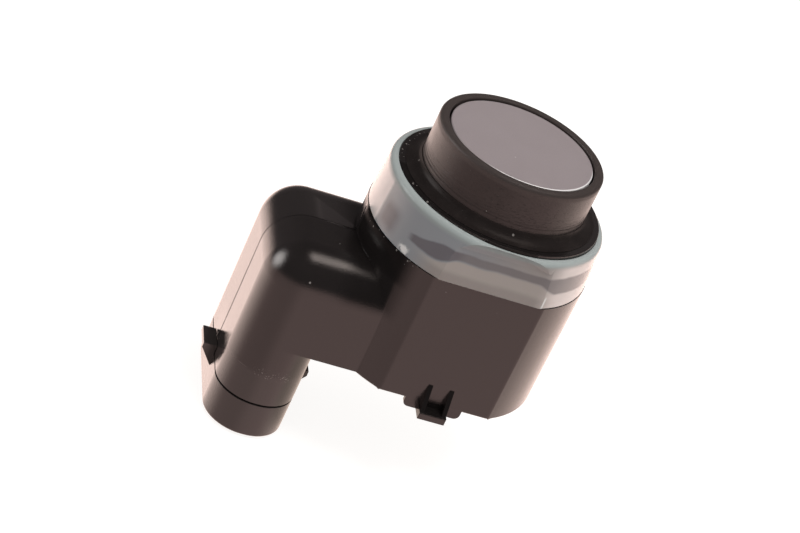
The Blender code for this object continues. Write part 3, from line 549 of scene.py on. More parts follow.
def moulded_plastic(name, colour=PLASTIC_COLOUR, roughness=0.15, rubbed=True):
    finish = Finish(name, colour, roughness)
    cloudy = finish.noise(0.35, 3.0)
    grain = finish.effect("grain", Grain_per_mm=7.0, Broad_share=0.05)
    finish.bump(grain, 0.018 * MM, 0.9)
    shade = finish.mix(cloudy, tuple(0.85 * c for c in colour), tuple(1.2 * c for c in colour))
    dust = finish.effect("specks", Cells_per_mm=1.2, Share=0.035, Size=0.14)
    marks = dust
    if rubbed:
        ring = finish.band(finish.z, RUB_MARK_Z, 0.06 * MM)
        broken = finish.step(finish.noise(0.9, 3.0), 0.46, 0.62)
        ring = finish.math("MULTIPLY", finish.math("MULTIPLY", ring, broken), 0.42)
        near_x = finish.band(finish.x, SCUFF_PLACE.x, 3.2 * MM)
        near_z = finish.band(finish.z, SCUFF_PLACE.z, 0.8 * MM)
        nicks = finish.step(finish.noise(5.0, 4.0), 0.58, 0.66)
        scuffs = finish.math("MULTIPLY", finish.math("MULTIPLY", near_x, near_z), nicks)
        # Painted reflection: below the rub mark the tube is painted a little paler, for the floor close under it.
        painted_floor_sheen = finish.math("MULTIPLY", finish.step(finish.z, RUB_MARK_Z + 0.3 * MM, RUB_MARK_Z - 0.3 * MM), 0.11)
        wear_and_floor_sheen = finish.math("MAXIMUM", finish.math("MAXIMUM", ring, painted_floor_sheen), finish.math("MULTIPLY", scuffs, 0.8))
        shade = finish.mix(wear_and_floor_sheen, shade, SCUFF_AND_SHEEN_COLOUR)
        # Painted shade: the gloss is turned down under the ring by the arm, on the arm's top by the body and on the
        # catches.
        under_ring = finish.step(finish.z, PAINTED_SHADE_LOW, PAINTED_SHADE_HIGH)
        to_arm = finish.step(finish.x, PAINTED_SHADE_RIGHT, PAINTED_SHADE_LEFT)
        near_side = finish.step(finish.y, 0.9 * MM, -0.7 * MM)
        painted_shade = finish.math("MULTIPLY", finish.math("MULTIPLY", under_ring, to_arm), near_side)
        near_body = finish.step(finish.x, ARM_SHADE_LEFT, ARM_SHADE_RIGHT)
        on_arm_top = finish.step(finish.z, ARM_TOP - 4.2 * MM, ARM_TOP - 2.6 * MM)
        on_arm = finish.math("MULTIPLY", near_body, finish.math("MULTIPLY", on_arm_top, to_arm))
        painted_shade = finish.math("MAXIMUM", painted_shade, finish.math("MULTIPLY", on_arm, 0.7))
        off_wall = finish.step(finish.math("ABSOLUTE", finish.y), BODY_FLAT + 0.03 * MM, BODY_FLAT + 0.08 * MM)
        on_catch = finish.math("MULTIPLY", off_wall, finish.step(finish.z, FOOT_Z - 0.6 * MM, FOOT_Z - 0.4 * MM))
        painted_shade = finish.math("MAXIMUM", painted_shade, finish.math("MULTIPLY", on_catch, 0.75))
        finish.set("Specular IOR Level", finish.spread(painted_shade, 0.5, 0.02))
        grit = finish.effect("specks", Cells_per_mm=3.0, Share=0.48, Size=0.36)
        by_ring = finish.math("MULTIPLY", finish.step(finish.z, SHOULDER_Z - 1.0 * MM, SHOULDER_Z - 0.5 * MM), to_arm)
        marks = finish.math("MAXIMUM", dust, finish.math("MULTIPLY", grit, by_ring))
    shade = finish.mix(finish.math("MULTIPLY", marks, 0.55), shade, DUST_COLOUR)
    finish.set("Base Color", shade)
    clouded = finish.spread(cloudy, roughness - 0.03, roughness + 0.05)
    by_lug = finish.math("MULTIPLY", finish.band(finish.y, 0.0, 4.0 * MM), finish.band(finish.z, SEAM_Z, 5.0 * MM))
    by_lug = finish.math("MULTIPLY", by_lug, finish.step(finish.x, housing_low.x + 0.8 * MM, housing_low.x + 0.4 * MM))
    finish.set("Roughness", finish.math("MULTIPLY", clouded, finish.spread(by_lug, 1.0, 0.35)))
    return finish.material


black_plastic = moulded_plastic("black_plastic")
cover_plastic = moulded_plastic("cover_plastic", roughness=0.30, rubbed=False)
print("plastics made")

# %% [markdown]
# ## Black rubber
#
# The sleeve round the disc is soft and matt. It was cut and handled, so it shows fine rings round it, small
# fibres, and more dust than the plastic holds.

# %% Black rubber
BRIM_Z = FLANGE_Z + 1.11 * MM
RIM_SHEEN_COLOUR = (0.055, 0.044, 0.041)


def sleeve_rubber():
    finish = Finish("sleeve_rubber", (0.015, 0.012, 0.0115), 0.46)
    on_skirt = finish.step(finish.z, BRIM_Z + 0.02 * MM, BRIM_Z - 0.02 * MM)
    on_rim = finish.step(finish.z, -0.75 * MM, -0.35 * MM)
    finish.shader.inputs["Specular IOR Level"].default_value = 0.36
    finish.set("Specular IOR Level", finish.spread(on_skirt, 0.36, 0.07))
    cloudy = finish.noise(0.5, 3.0)
    grain = finish.effect("grain", Grain_per_mm=7.0, Broad_share=0.2)
    rings = finish.noise(0.5)
    streaks = finish.effect("scratches", Lines_per_mm=1.6, Stretch=0.08, Threshold=0.63)
    height = finish.math("ADD", finish.math("MULTIPLY", grain, 0.6), finish.math("MULTIPLY", streaks, 0.5))
    finish.bump(height, 0.012 * MM, 0.8)
    shade = finish.mix(cloudy, (0.013, 0.0105, 0.010), (0.024, 0.0195, 0.0185))
    shade = finish.mix(finish.math("MULTIPLY", finish.step(rings, 0.55, 0.75), 0.35), shade, (0.032, 0.026, 0.024))
    dust = finish.effect("specks", Cells_per_mm=1.2, Share=0.07, Size=0.17)
    lint = finish.step(finish.noise(3.5, 5.0), 0.70, 0.74)
    shade = finish.mix(finish.math("MULTIPLY", lint, 0.12), shade, DUST_COLOUR)
    shade = finish.mix(finish.math("MULTIPLY", dust, 0.45), shade, DUST_COLOUR)
    # Painted sheen: the rim is painted paler and made rougher, where its rounded top catches the light.
    shade = finish.mix(finish.math("MULTIPLY", on_rim, 0.8), shade, RIM_SHEEN_COLOUR)
    finish.set("Base Color", shade)
    finish.set("Roughness", finish.math("ADD", finish.spread(cloudy, 0.27, 0.38), finish.math("MULTIPLY", on_rim, 0.2)))
    return finish.material


rubber = sleeve_rubber()
print("rubber made")

# %% [markdown]
# ## Milky silicone
#
# Silicone scatters the light inside it. Where it is thick it looks pale, and where the housing's rib comes close
# behind it, the black shows through. That shadow is painted from the rib's own place: a band that is wide at the
# ring's corners, narrow on its flats, and runs out to a point over the arm. The lip is greener, the foot warmer.

# %% Milky silicone
SILICONE_LIP = (0.41, 0.455, 0.45)
SILICONE_WALL_LEFT = (0.31, 0.345, 0.37)
SILICONE_WALL_RIGHT = (0.40, 0.385, 0.37)
SILICONE_SHADOW = (0.18, 0.18, 0.19)
SILICONE_SPEAR = (0.105, 0.11, 0.13)
SILICONE_FOOT = (0.47, 0.44, 0.41)
SILICONE_EDGE = (0.36, 0.335, 0.315)
SILICONE_LIT_ENDS = (0.95, 0.86, 0.83)
SHADOW_TOP = -7.9 * MM
SHADOW_FOOT_FLAT = -8.8 * MM
SHADOW_FOOT_CORNER = -9.75 * MM
SHADOW_POINT = (-9.4 * MM, -9.0 * MM)
SOFT = 0.16 * MM
NICK_PLACE = Vector((-9.2 * MM, 0.0, -11.0 * MM))


def milky_silicone():
    finish = Finish("milky_silicone", SILICONE_WALL_LEFT, 0.14, ior=1.47)
    finish.shader.inputs["Subsurface Weight"].default_value = 0.6
    finish.shader.inputs["Subsurface Radius"].default_value = (1.0, 1.0, 1.0)
    finish.shader.inputs["Subsurface Scale"].default_value = 0.25 * MM
    cloudy = finish.noise(0.30, 3.0)
    wavy_z = finish.math("ADD", finish.z, finish.spread(cloudy, -0.25 * MM, 0.25 * MM))
    aside = finish.math("ABSOLUTE", finish.x)
    depth = finish.math("ABSOLUTE", finish.y)
    corner = finish.step(aside, 4.2 * MM, 6.6 * MM)
    run_out = finish.step(finish.x, -6.0 * MM, SHADOW_POINT[0])
    top = finish.spread(run_out, SHADOW_TOP, SHADOW_POINT[1])
    foot = finish.spread(corner, SHADOW_FOOT_FLAT, SHADOW_FOOT_CORNER)
    below_top = finish.step(finish.math("SUBTRACT", wavy_z, top), SOFT, -SOFT)
    above_foot = finish.step(finish.math("SUBTRACT", wavy_z, foot), -SOFT, SOFT)
    before_point = finish.step(finish.x, SHADOW_POINT[0], SHADOW_POINT[0] + 4 * SOFT)
    shadow = finish.math("MULTIPLY", finish.math("MULTIPLY", below_top, above_foot), before_point)
    patch = finish.math("MULTIPLY", finish.band(wavy_z, -9.6 * MM, 1.9 * MM), finish.band(depth, 4.7 * MM, 1.9 * MM))
    patch = finish.math("MULTIPLY", patch, finish.step(finish.x, -8.0 * MM, -9.0 * MM))
    shadow = finish.math("MAXIMUM", shadow, finish.math("MULTIPLY", patch, 0.95))
    wall = finish.mix(finish.step(finish.x, -5.0 * MM, 4.0 * MM), SILICONE_WALL_LEFT, SILICONE_WALL_RIGHT)
    on_lip = finish.step(finish.z, -6.9 * MM, -6.3 * MM)
    shade = finish.mix(on_lip, wall, SILICONE_LIP)
    below_foot = finish.step(finish.math("SUBTRACT", wavy_z, foot), 0.0, -0.3 * MM)
    past_arm = finish.step(finish.x, -9.0 * MM, -6.0 * MM)
    foot_shade = finish.mix(finish.step(wavy_z, -10.0 * MM, -10.8 * MM), SILICONE_FOOT, SILICONE_EDGE)
    shade = finish.mix(finish.math("MULTIPLY", below_foot, past_arm), shade, foot_shade)
    # Painted light: the far left and right ends are painted nearly white, for the bright set seen through thin
    # silicone.
    left_end = finish.math("MULTIPLY", finish.step(finish.x, -8.0 * MM, -9.0 * MM), finish.step(depth, 3.3 * MM, 2.7 * MM))
    right_end = finish.step(finish.x, 4.4 * MM, 7.4 * MM)
    lit_thin_ends = finish.math("MAXIMUM", left_end, right_end)
    below_lip = finish.step(finish.z, -6.2 * MM, -7.0 * MM)
    lit_thin_ends = finish.math("MULTIPLY", lit_thin_ends, below_lip)
    shade = finish.mix(finish.math("MULTIPLY", lit_thin_ends, finish.spread(cloudy, 0.6, 1.2)), shade, SILICONE_LIT_ENDS)
    shadow_shade = finish.mix(finish.step(finish.x, -3.5 * MM, -5.0 * MM), SILICONE_SHADOW, SILICONE_SPEAR)
    shade = finish.mix(finish.math("MULTIPLY", shadow, 0.85), shade, shadow_shade)
    crease = finish.math("MULTIPLY", finish.band(finish.x, 5.6 * MM, 0.16 * MM), finish.step(finish.z, -9.9 * MM, -10.4 * MM))
    nick = finish.math("MULTIPLY", finish.band(finish.x, NICK_PLACE.x, 0.6 * MM), finish.band(wavy_z, NICK_PLACE.z, 0.6 * MM))
    ragged = finish.step(finish.noise(1.7, 3.0), 0.42, 0.56)
    nick = finish.math("MULTIPLY", nick, finish.math("MULTIPLY", ragged, finish.math("LESS_THAN", finish.y, 0.0)))
    marks = finish.math("MULTIPLY", finish.math("MAXIMUM", crease, nick), 0.9)
    shade = finish.mix(marks, shade, (0.95, 0.95, 0.93))
    finish.set("Base Color", shade)
    finish.set("Specular IOR Level", finish.spread(on_lip, 0.5, 0.15))
    finish.set("Roughness", finish.spread(cloudy, 0.10, 0.18))
    return finish.material


silicone = milky_silicone()
print("silicone made")

# %% [markdown]
# ## Painted metal face
#
# The disc is aluminium under a thin grey coat. The coat is matt and slightly mauve, with a fine mottle and a few
# white specks. Round the rim it is thin, and on the side towards the light the edge is painted near white, with
# less metal and less roughness: a painted highlight for the bare edge's flash.

# %% Painted metal face
def coated_metal(rim_radius):
    finish = Finish("coated_metal", (0.30, 0.27, 0.278), 0.42, metallic=0.35)
    mottle = finish.effect("grain", Grain_per_mm=6.0, Broad_share=0.35)
    finish.bump(mottle, 0.003 * MM, 0.6)
    cloudy = finish.noise(0.25, 3.0)
    shade = finish.mix(mottle, (0.37, 0.325, 0.335), (0.50, 0.44, 0.455))
    shade = finish.mix(finish.math("MULTIPLY", cloudy, 0.4), shade, (0.45, 0.41, 0.42))
    radius = finish.math("SQRT", finish.math("ADD", finish.math("MULTIPLY", finish.x, finish.x),
                                             finish.math("MULTIPLY", finish.y, finish.y)))
    # Painted highlight: a near-white line round the rim, only on the side towards the light, less metal, less rough.
    rim = finish.step(radius, rim_radius - 0.14 * MM, rim_radius - 0.12 * MM)
    glint_side = finish.math("ADD", finish.math("MULTIPLY", finish.x, 0.42), finish.math("MULTIPLY", finish.y, -0.91))
    rim = finish.math("MULTIPLY", rim, finish.step(glint_side, 0.40 * rim_radius, 0.72 * rim_radius))
    shade = finish.mix(rim, shade, (0.95, 0.94, 0.94))
    specks = finish.effect("specks", Cells_per_mm=0.8, Share=0.09, Size=0.13)
    shade = finish.mix(finish.math("MULTIPLY", specks, 0.6), shade, (0.8, 0.78, 0.78))
    finish.set("Base Color", shade)
    finish.set("Metallic", finish.spread(rim, 0.35, 0.0))
    finish.set("Roughness", finish.spread(rim, 0.42, 0.30))
    return finish.material


face_metal = coated_metal(cup_high.x)
print("face made")

# %% [markdown]
# ## What is inside
#
# Nothing inside shows in the picture, but each part still gets the look of what it is made of, for whoever takes
# the sensor apart. Each is a colour, a second colour that wanders through it, and a grain.

# %% Finishes for the inner parts
def plain_finish(name, colour, second, roughness, metallic=0.0, per_mm=4.0, depth=0.006, wander=0.6):
    finish = Finish(name, colour, roughness, metallic)
    cloudy = finish.noise(wander, 4.0)
    grain = finish.effect("grain", Grain_per_mm=per_mm, Broad_share=0.3)
    finish.bump(grain, depth * MM, 0.8)
    finish.set("Base Color", finish.mix(cloudy, colour, second))
    finish.set("Roughness", finish.spread(grain, roughness - 0.06, roughness + 0.08))
    return finish


def wound_copper():
    """Enamelled wire: fine turns, one above another, as a sine of the height."""
    finish = plain_finish("wound_copper", (0.50, 0.19, 0.08), (0.62, 0.27, 0.12), 0.3, 1.0)
    turns = finish.math("SINE", finish.math("MULTIPLY", finish.z, 2 * math.pi / (0.12 * MM)))
    finish.bump(turns, 0.02 * MM, 0.8)
    return finish.material


def glass_board():
    """A green lacquered board with a woven core: two crossed waves under the lacquer."""
    finish = plain_finish("glass_board", (0.015, 0.10, 0.045), (0.03, 0.15, 0.07), 0.35)
    pitch = 2 * math.pi / (0.5 * MM)
    warp = finish.math("SINE", finish.math("MULTIPLY", finish.x, pitch))
    weft = finish.math("SINE", finish.math("MULTIPLY", finish.y, pitch))
    weave = finish.math("MULTIPLY", warp, weft)
    finish.bump(weave, 0.01 * MM, 0.5)
    shade = finish.mix(finish.spread(weave, 0.3, 0.7), (0.012, 0.09, 0.04), (0.03, 0.16, 0.08))
    finish.set("Base Color", shade)
    return finish.material


INNER_FINISHES = {
    "grey_plastic": plain_finish("grey_plastic", (0.09, 0.09, 0.10), (0.12, 0.12, 0.13), 0.45).material,
    "piezo_ceramic": plain_finish("piezo_ceramic", (0.62, 0.57, 0.45), (0.70, 0.66, 0.55), 0.55).material,
    "damping_felt": plain_finish("felt", (0.24, 0.22, 0.20), (0.36, 0.33, 0.30), 0.95, per_mm=12.0,
                                 depth=0.08, wander=3.0).material,
    "cup_filler": plain_finish("filler", (0.45, 0.17, 0.12), (0.55, 0.24, 0.18), 0.5).material,
    "tin": plain_finish("tin", (0.66, 0.64, 0.58), (0.74, 0.72, 0.67), 0.26, 1.0, depth=0.003).material,
    "ferrite": plain_finish("ferrite", (0.04, 0.04, 0.045), (0.06, 0.06, 0.065), 0.5, depth=0.02).material,
    "chip": plain_finish("chip_resin", (0.016, 0.016, 0.017), (0.03, 0.03, 0.03), 0.55, depth=0.012).material,
    "can": plain_finish("can_metal", (0.60, 0.60, 0.62), (0.70, 0.70, 0.72), 0.28, 1.0, depth=0.003).material,
    "chip_ceramic": plain_finish("chip_ceramic", (0.40, 0.30, 0.20), (0.50, 0.39, 0.27), 0.5).material,
    "copper": wound_copper(),
    "board": glass_board(),
}
NODE_FINISHES = {
    "piezo_disc": "piezo_ceramic", "damping_felt": "damping_felt", "cup_filler": "cup_filler",
    "piezo_lead_1": "tin", "piezo_lead_2": "tin", "ring_retainer": "grey_plastic", "circuit_board": "board",
    "transformer_core": "ferrite", "transformer_winding": "copper", "signal_chip": "chip",
    "storage_capacitor": "can", "ceramic_capacitor_1": "chip_ceramic", "ceramic_capacitor_2": "chip_ceramic",
    "resistor_1": "chip", "resistor_2": "chip", "contact_pin_1": "tin", "contact_pin_2": "tin",
    "contact_pin_3": "tin", "contact_carrier": "grey_plastic",
}


def dress(node, material):
    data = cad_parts[node].data
    data.materials.clear()
    data.materials.append(material)


for node, finish_name in NODE_FINISHES.items():
    dress(node, INNER_FINISHES[finish_name])
dress("rear_cover", cover_plastic)
print(len(NODE_FINISHES) + 1, "solids dressed")

# %% [markdown]
# ## Modelling by hand, written down
#
# The new pieces are made as they would be at the screen: a primitive, a few selected edges, a bevel, a cut.
# The helpers below each stand for one such habit. The first clears the selection, since an operator acts on
# everything that is selected. The second enters edit mode with only the wanted edges or faces picked.

# %% Helpers for modelling
def select_only(piece):
    bpy.ops.object.select_all(action="DESELECT")
    piece.select_set(True)
    bpy.context.view_layer.objects.active = piece


def edit(piece, kind, wanted):
    """Edit mode, with only the vertices, edges or faces picked for which wanted says yes."""
    select_only(piece)
    bpy.ops.object.mode_set(mode="EDIT")
    bpy.ops.mesh.select_mode(type=kind)
    bpy.ops.mesh.select_all(action="DESELECT")
    mesh = bmesh.from_edit_mesh(piece.data)
    parts = {"VERT": mesh.verts, "EDGE": mesh.edges, "FACE": mesh.faces}[kind]
    picked = [part for part in parts if wanted(part)]
    for part in picked:
        part.select_set(True)
    mesh.select_flush_mode()
    bmesh.update_edit_mesh(piece.data)
    return len(picked)


def leave():
    bpy.ops.object.mode_set(mode="OBJECT")


def settle(piece, name):
    """Applies the place and size of a primitive to its mesh."""
    piece.name = name
    select_only(piece)
    bpy.ops.object.transform_apply(location=True, rotation=True, scale=True)
    return piece


def block(name, x0, x1, y0, y1, z0, z1):
    middle = ((x0 + x1) / 2, (y0 + y1) / 2, (z0 + z1) / 2)
    bpy.ops.mesh.primitive_cube_add(size=1.0, location=middle)
    piece = bpy.context.object
    piece.scale = (x1 - x0, y1 - y0, z1 - z0)
    return settle(piece, name)


def drum(name, radius, low, high, sides=144, centre=(0.0, 0.0)):
    bpy.ops.mesh.primitive_cylinder_add(vertices=sides, radius=radius, depth=high - low,
                                        location=(centre[0], centre[1], (low + high) / 2))
    return settle(bpy.context.object, name)


def slice_off(piece, point, normal):
    """Removes what lies on the normal's side of a plane, and closes the cut."""
    edit(piece, "FACE", lambda face: True)
    bpy.ops.mesh.bisect(plane_co=point, plane_no=normal, use_fill=True, clear_outer=True, threshold=1e-7)
    leave()


def flatted_drum(name, radius, flat, low, high):
    piece = drum(name, radius, low, high)
    for side in (-1, 1):
        slice_off(piece, (0.0, side * flat, 0.0), (0.0, side, 0.0))
    return piece


def round_edges(piece, wanted, width, steps=3):
    count = edit(piece, "EDGE", wanted)
    bpy.ops.mesh.bevel(offset_type="OFFSET", offset=width, segments=steps, profile=0.5, affect="EDGES")
    leave()
    return count


def combine(piece, tool, operation):
    select_only(piece)
    step = piece.modifiers.new("combine", "BOOLEAN")
    step.operation = operation
    step.solver = "EXACT"
    step.object = tool
    bpy.ops.object.modifier_apply(modifier=step.name)
    bpy.data.objects.remove(tool, do_unlink=True)
    return piece


def turned(name, profile, steps=144):
    """A closed outline of (radius, height) points, spun once round the sensing axis."""
    data = bpy.data.meshes.new(name)
    count = len(profile)
    data.from_pydata([(radius, 0.0, z) for radius, z in profile], [(i, (i + 1) % count) for i in range(count)], [])
    piece = bpy.data.objects.new(name, data)
    bpy.context.scene.collection.objects.link(piece)
    edit(piece, "VERT", lambda vert: True)
    bpy.ops.mesh.spin(steps=steps, angle=2 * math.pi, center=(0.0, 0.0, 0.0), axis=(0.0, 0.0, 1.0))
    bpy.ops.mesh.select_all(action="SELECT")
    bpy.ops.mesh.remove_doubles(threshold=1e-6)
    bpy.ops.mesh.normals_make_consistent(inside=False)
    leave()
    return piece


def arc(centre, radius, start, end, steps=6):
    """Points on a round corner, from one angle to another, in degrees."""
    angles = [math.radians(start + (end - start) * i / steps) for i in range(steps + 1)]
    return [(centre[0] + radius * math.cos(a), centre[1] + radius * math.sin(a)) for a in angles]


def is_upright(edge):
    a, b = (vert.co for vert in edge.verts)
    return abs(a.z - b.z) > 0.9 * (a - b).length


def at(value, target, slack=1e-5):
    return abs(value - target) < slack


def polish(piece, material, body="root", angle=32.0):
    """Smooth shading that keeps hard edges, the finish, and a parent body for the piece."""
    piece.data.materials.clear()
    piece.data.materials.append(material)
    select_only(piece)
    bpy.ops.object.shade_smooth_by_angle(angle=math.radians(angle))
    weights = piece.modifiers.new("weights", "WEIGHTED_NORMAL")
    weights.keep_sharp = True
    bpy.ops.object.modifier_apply(modifier=weights.name)
    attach(piece, body)
    print(piece.name, "has", len(piece.data.polygons), "faces")


# %% [markdown]
# ## The housing's round body
#
# It is one moulding, but it is easiest to make as a few simple solids that are then fused: a drum with two flats,
# a turned flange on top of it, and a low rib that the silicone ring grips. The corners are rounded before the
# parts are fused, while the edges are still long and clean.

# %% The round body
CORNER = 0.22 * MM
FLANGE_RADIUS = 11.0 * MM
FLANGE_EDGE = 0.4 * MM
FLANGE_TAPER = 0.6 * MM
BARREL_RADIUS = 9.6 * MM
RIB_TOP = FLANGE_Z - 2.52 * MM
RIB_HEIGHT = 1.4 * MM
RIB_RADIUS = BARREL_RADIUS + 1.6 * MM
RIB_FLAT = BARREL_RADIUS + 0.42 * MM


def make_body():
    body = flatted_drum("moulded_housing", BODY_RADIUS, BODY_FLAT, FOOT_Z, SHOULDER_Z)
    corners = round_edges(body, lambda e: is_upright(e) and all(at(abs(v.co.y), BODY_FLAT) for v in e.verts), CORNER)
    rims = round_edges(body, lambda e: all(at(v.co.z, FOOT_Z) for v in e.verts), CORNER)
    print(corners, "corners and", rims, "foot edges rounded")
    edge = 0.1 * MM
    flange_foot = FLANGE_Z - FLANGE_EDGE
    flange = turned("flange", [
        (0.001 * MM, FLANGE_Z), *arc((FLANGE_RADIUS - edge, FLANGE_Z - edge), edge, 90, 0, 4),
        (FLANGE_RADIUS, flange_foot), (BARREL_RADIUS, flange_foot - FLANGE_TAPER),
        (BARREL_RADIUS, SHOULDER_Z - 0.5 * MM), (0.001 * MM, SHOULDER_Z - 0.5 * MM)])
    combine(body, flange, "UNION")
    rib = flatted_drum("rib", RIB_RADIUS, RIB_FLAT, RIB_TOP - RIB_HEIGHT, RIB_TOP)
    return combine(body, rib, "UNION")


housing = make_body()

# %% [markdown]
# ## The arm and the tube
#
# The arm's end is a pillow: its upright corners and its top edges all have the same generous radius, so they meet
# in a quarter of a ball. One bevel on five edges of a block makes exactly that. The tube below the arm is what is
# left when the rest of the block is cut away round an oval. A fine raised line runs round the limb where the
# mould's halves met.

# %% The arm and the tube
LINE_HALF_WIDTH = 0.035 * MM
LINE_HEIGHT = 0.028 * MM
PILLOW_STEPS = 20


def oval(name, inset, low, high, steps=16):
    half_x = TUBE_HALF_X - inset
    half_y = TUBE_HALF_Y - inset
    piece = block(name, TUBE_X - half_x, TUBE_X + half_x, -half_y, half_y, low, high)
    round_edges(piece, is_upright, TUBE_ROUND - inset, steps)
    return piece


def on_pillow(edge):
    a, b = (vert.co for vert in edge.verts)
    left = at(a.x, housing_low.x) and at(b.x, housing_low.x)
    side = at(abs(a.y), TUBE_HALF_Y) and at(a.y, b.y)
    top = at(a.z, ARM_TOP) and at(b.z, ARM_TOP)
    return (left and side) or (left and top) or (side and top)


def raise_mould_line(limb):
    for side in (-1, 1):
        edit(limb, "FACE", lambda face: True)
        bpy.ops.mesh.bisect(plane_co=(0.0, side * LINE_HALF_WIDTH, 0.0), plane_no=(0.0, 1.0, 0.0), threshold=1e-7)
        leave()
    strip = edit(limb, "FACE", lambda face: all(abs(v.co.y) < 1.2 * LINE_HALF_WIDTH for v in face.verts)
                 and face.normal.x < 0.5 and face.normal.z > -0.5)
    bpy.ops.mesh.extrude_region_shrink_fatten(TRANSFORM_OT_shrink_fatten={"value": LINE_HEIGHT})
    leave()
    print("mould line over", strip, "faces")


def make_limb():
    root = -CAVITY_RADIUS / 2
    limb = block("limb", housing_low.x, root, -TUBE_HALF_Y, TUBE_HALF_Y, SEAM_Z, ARM_TOP)
    print(round_edges(limb, on_pillow, TUBE_ROUND, PILLOW_STEPS), "edges make the pillow")
    waste = block("waste", TUBE_X + 0.2 * MM, root + OVERRUN, -TUBE_HALF_Y - OVERRUN, TUBE_HALF_Y + OVERRUN,
                  SEAM_Z - OVERRUN, ARM_FOOT)
    combine(waste, oval("tube_room", 0.0, SEAM_Z - 2 * OVERRUN, ARM_FOOT + OVERRUN, PILLOW_STEPS), "DIFFERENCE")
    combine(limb, waste, "DIFFERENCE")
    raise_mould_line(limb)
    return limb


combine(housing, make_limb(), "UNION")
spigot_inset = SOCKET_WALL - 0.6 * MM
combine(housing, oval("spigot", spigot_inset, housing_low.z, SEAM_Z + SPIGOT_LENGTH / 2), "UNION")
print("limb fused, housing now has", len(housing.data.polygons), "faces")

# %% [markdown]
# ## The catches
#
# A small ledge on each flat snaps under the holder. It hangs on a tongue below the body's foot and is propped by
# two thin gussets. A gusset is a block whose upper front edge is pushed back to the wall.

# %% The catches
TONGUE_HALF_WIDTH = 3.1 * MM
TONGUE_DROP = 1.0 * MM
TONGUE_ROUND = 0.6 * MM
LEDGE_HALF_WIDTH = 1.47 * MM
LEDGE_REACH = 1.44 * MM
LEDGE_TOP = FOOT_Z - 0.4 * MM
LEDGE_HEIGHT = 0.8 * MM
GUSSET_WIDTH = 0.6 * MM
GUSSET_TOP = FOOT_Z + 2.25 * MM
SMALL_EDGE = 0.07 * MM


def catch_parts(side):
    wall = side * BODY_FLAT
    inner = side * (BODY_FLAT - 0.5 * MM)
    skin = wall - side * 0.02 * MM
    front = side * (BODY_FLAT + LEDGE_REACH)
    low = FOOT_Z - TONGUE_DROP
    tongue = block("tongue", -TONGUE_HALF_WIDTH, TONGUE_HALF_WIDTH, min(skin, inner), max(skin, inner),
                   low, FOOT_Z + 0.8 * MM)
    round_edges(tongue, lambda e: all(at(v.co.z, low) and at(v.co.x, e.verts[0].co.x) for v in e.verts),
                TONGUE_ROUND, 6)
    yield tongue
    root = wall - side * 0.3 * MM
    ledge = block("ledge", -LEDGE_HALF_WIDTH, LEDGE_HALF_WIDTH, min(root, front), max(root, front),
                  LEDGE_TOP - LEDGE_HEIGHT, LEDGE_TOP)
    round_edges(ledge, lambda e: all(at(v.co.y, front) for v in e.verts), SMALL_EDGE, 2)
    yield ledge
    for end in (-1, 1):
        near, far = sorted((end * LEDGE_HALF_WIDTH, end * (LEDGE_HALF_WIDTH - GUSSET_WIDTH)))
        gusset = block("gusset", near + SMALL_EDGE, far - SMALL_EDGE, min(root, front), max(root, front),
                       LEDGE_TOP - LEDGE_HEIGHT / 2, GUSSET_TOP)
        edit(gusset, "VERT", lambda v: at(v.co.y, front) and at(v.co.z, GUSSET_TOP))
        bpy.ops.transform.translate(value=(0.0, wall - front + side * 0.05 * MM, 0.0))
        leave()
        edit(gusset, "VERT", lambda v: at(v.co.y, front) and v.co.z < LEDGE_TOP)
        bpy.ops.transform.translate(value=(0.0, -side * 0.08 * MM, 0.0))
        leave()
        yield gusset


for side in (-1, 1):
    for part in catch_parts(side):
        combine(housing, part, "UNION")
print("catches fused, housing now has", len(housing.data.polygons), "faces")

# %% [markdown]
# ## Hollowing the housing
#
# The moulding is a shell. A bore takes the sleeve, a large room takes the board, a tunnel takes the pins, and the
# socket takes the plug. Each is cut with a block or a drum a little longer than the wall that it goes through.

# %% Hollow the housing
NECK_BORE = 8.85 * MM
BORE_MOUTH = 9.25 * MM
DECK_Z = SHOULDER_Z - 1.0 * MM
COVER_LEDGE = 0.6 * MM
ARM_WALL = 2.3 * MM
ARM_FLOOR = 1.7 * MM


def hollow(housing):
    bore = turned("bore", [(0.001 * MM, DECK_Z - OVERRUN), (NECK_BORE, DECK_Z - OVERRUN),
                           (NECK_BORE, FLANGE_Z - (BORE_MOUTH - NECK_BORE)),
                           (BORE_MOUTH + OVERRUN, FLANGE_Z + OVERRUN), (0.001 * MM, FLANGE_Z + OVERRUN)])
    combine(housing, bore, "DIFFERENCE")
    combine(housing, flatted_drum("room", CAVITY_RADIUS, CAVITY_FLAT, FOOT_Z - OVERRUN, DECK_Z), "DIFFERENCE")
    recess = flatted_drum("recess", BODY_RADIUS - COVER_LEDGE, BODY_FLAT - COVER_LEDGE, FOOT_Z - 2 * OVERRUN,
                          FOOT_Z + 1.7 * MM)
    combine(housing, recess, "DIFFERENCE")
    half_y = TUBE_HALF_Y - ARM_WALL
    tunnel = block("tunnel", housing_low.x + ARM_WALL, -CAVITY_RADIUS / 2 + OVERRUN, -half_y, half_y,
                   ARM_FOOT + ARM_FLOOR, ARM_TOP - ARM_WALL)
    round_edges(tunnel, is_upright, 0.8 * MM, 4)
    combine(housing, tunnel, "DIFFERENCE")
    combine(housing, oval("socket_room", SOCKET_WALL, RIM_Z - OVERRUN, SOCKET_TOP), "DIFFERENCE")
    for number in (1, 2, 3):
        low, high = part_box(f"contact_pin_{number}")
        hole = block("pin_hole", low.x - FIT, low.x + high.y - low.y + FIT, low.y - FIT, high.y + FIT,
                     SOCKET_TOP - OVERRUN, ARM_FOOT + ARM_FLOOR + OVERRUN)
        combine(housing, hole, "DIFFERENCE")


hollow(housing)
polish(housing, black_plastic)
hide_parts("housing")

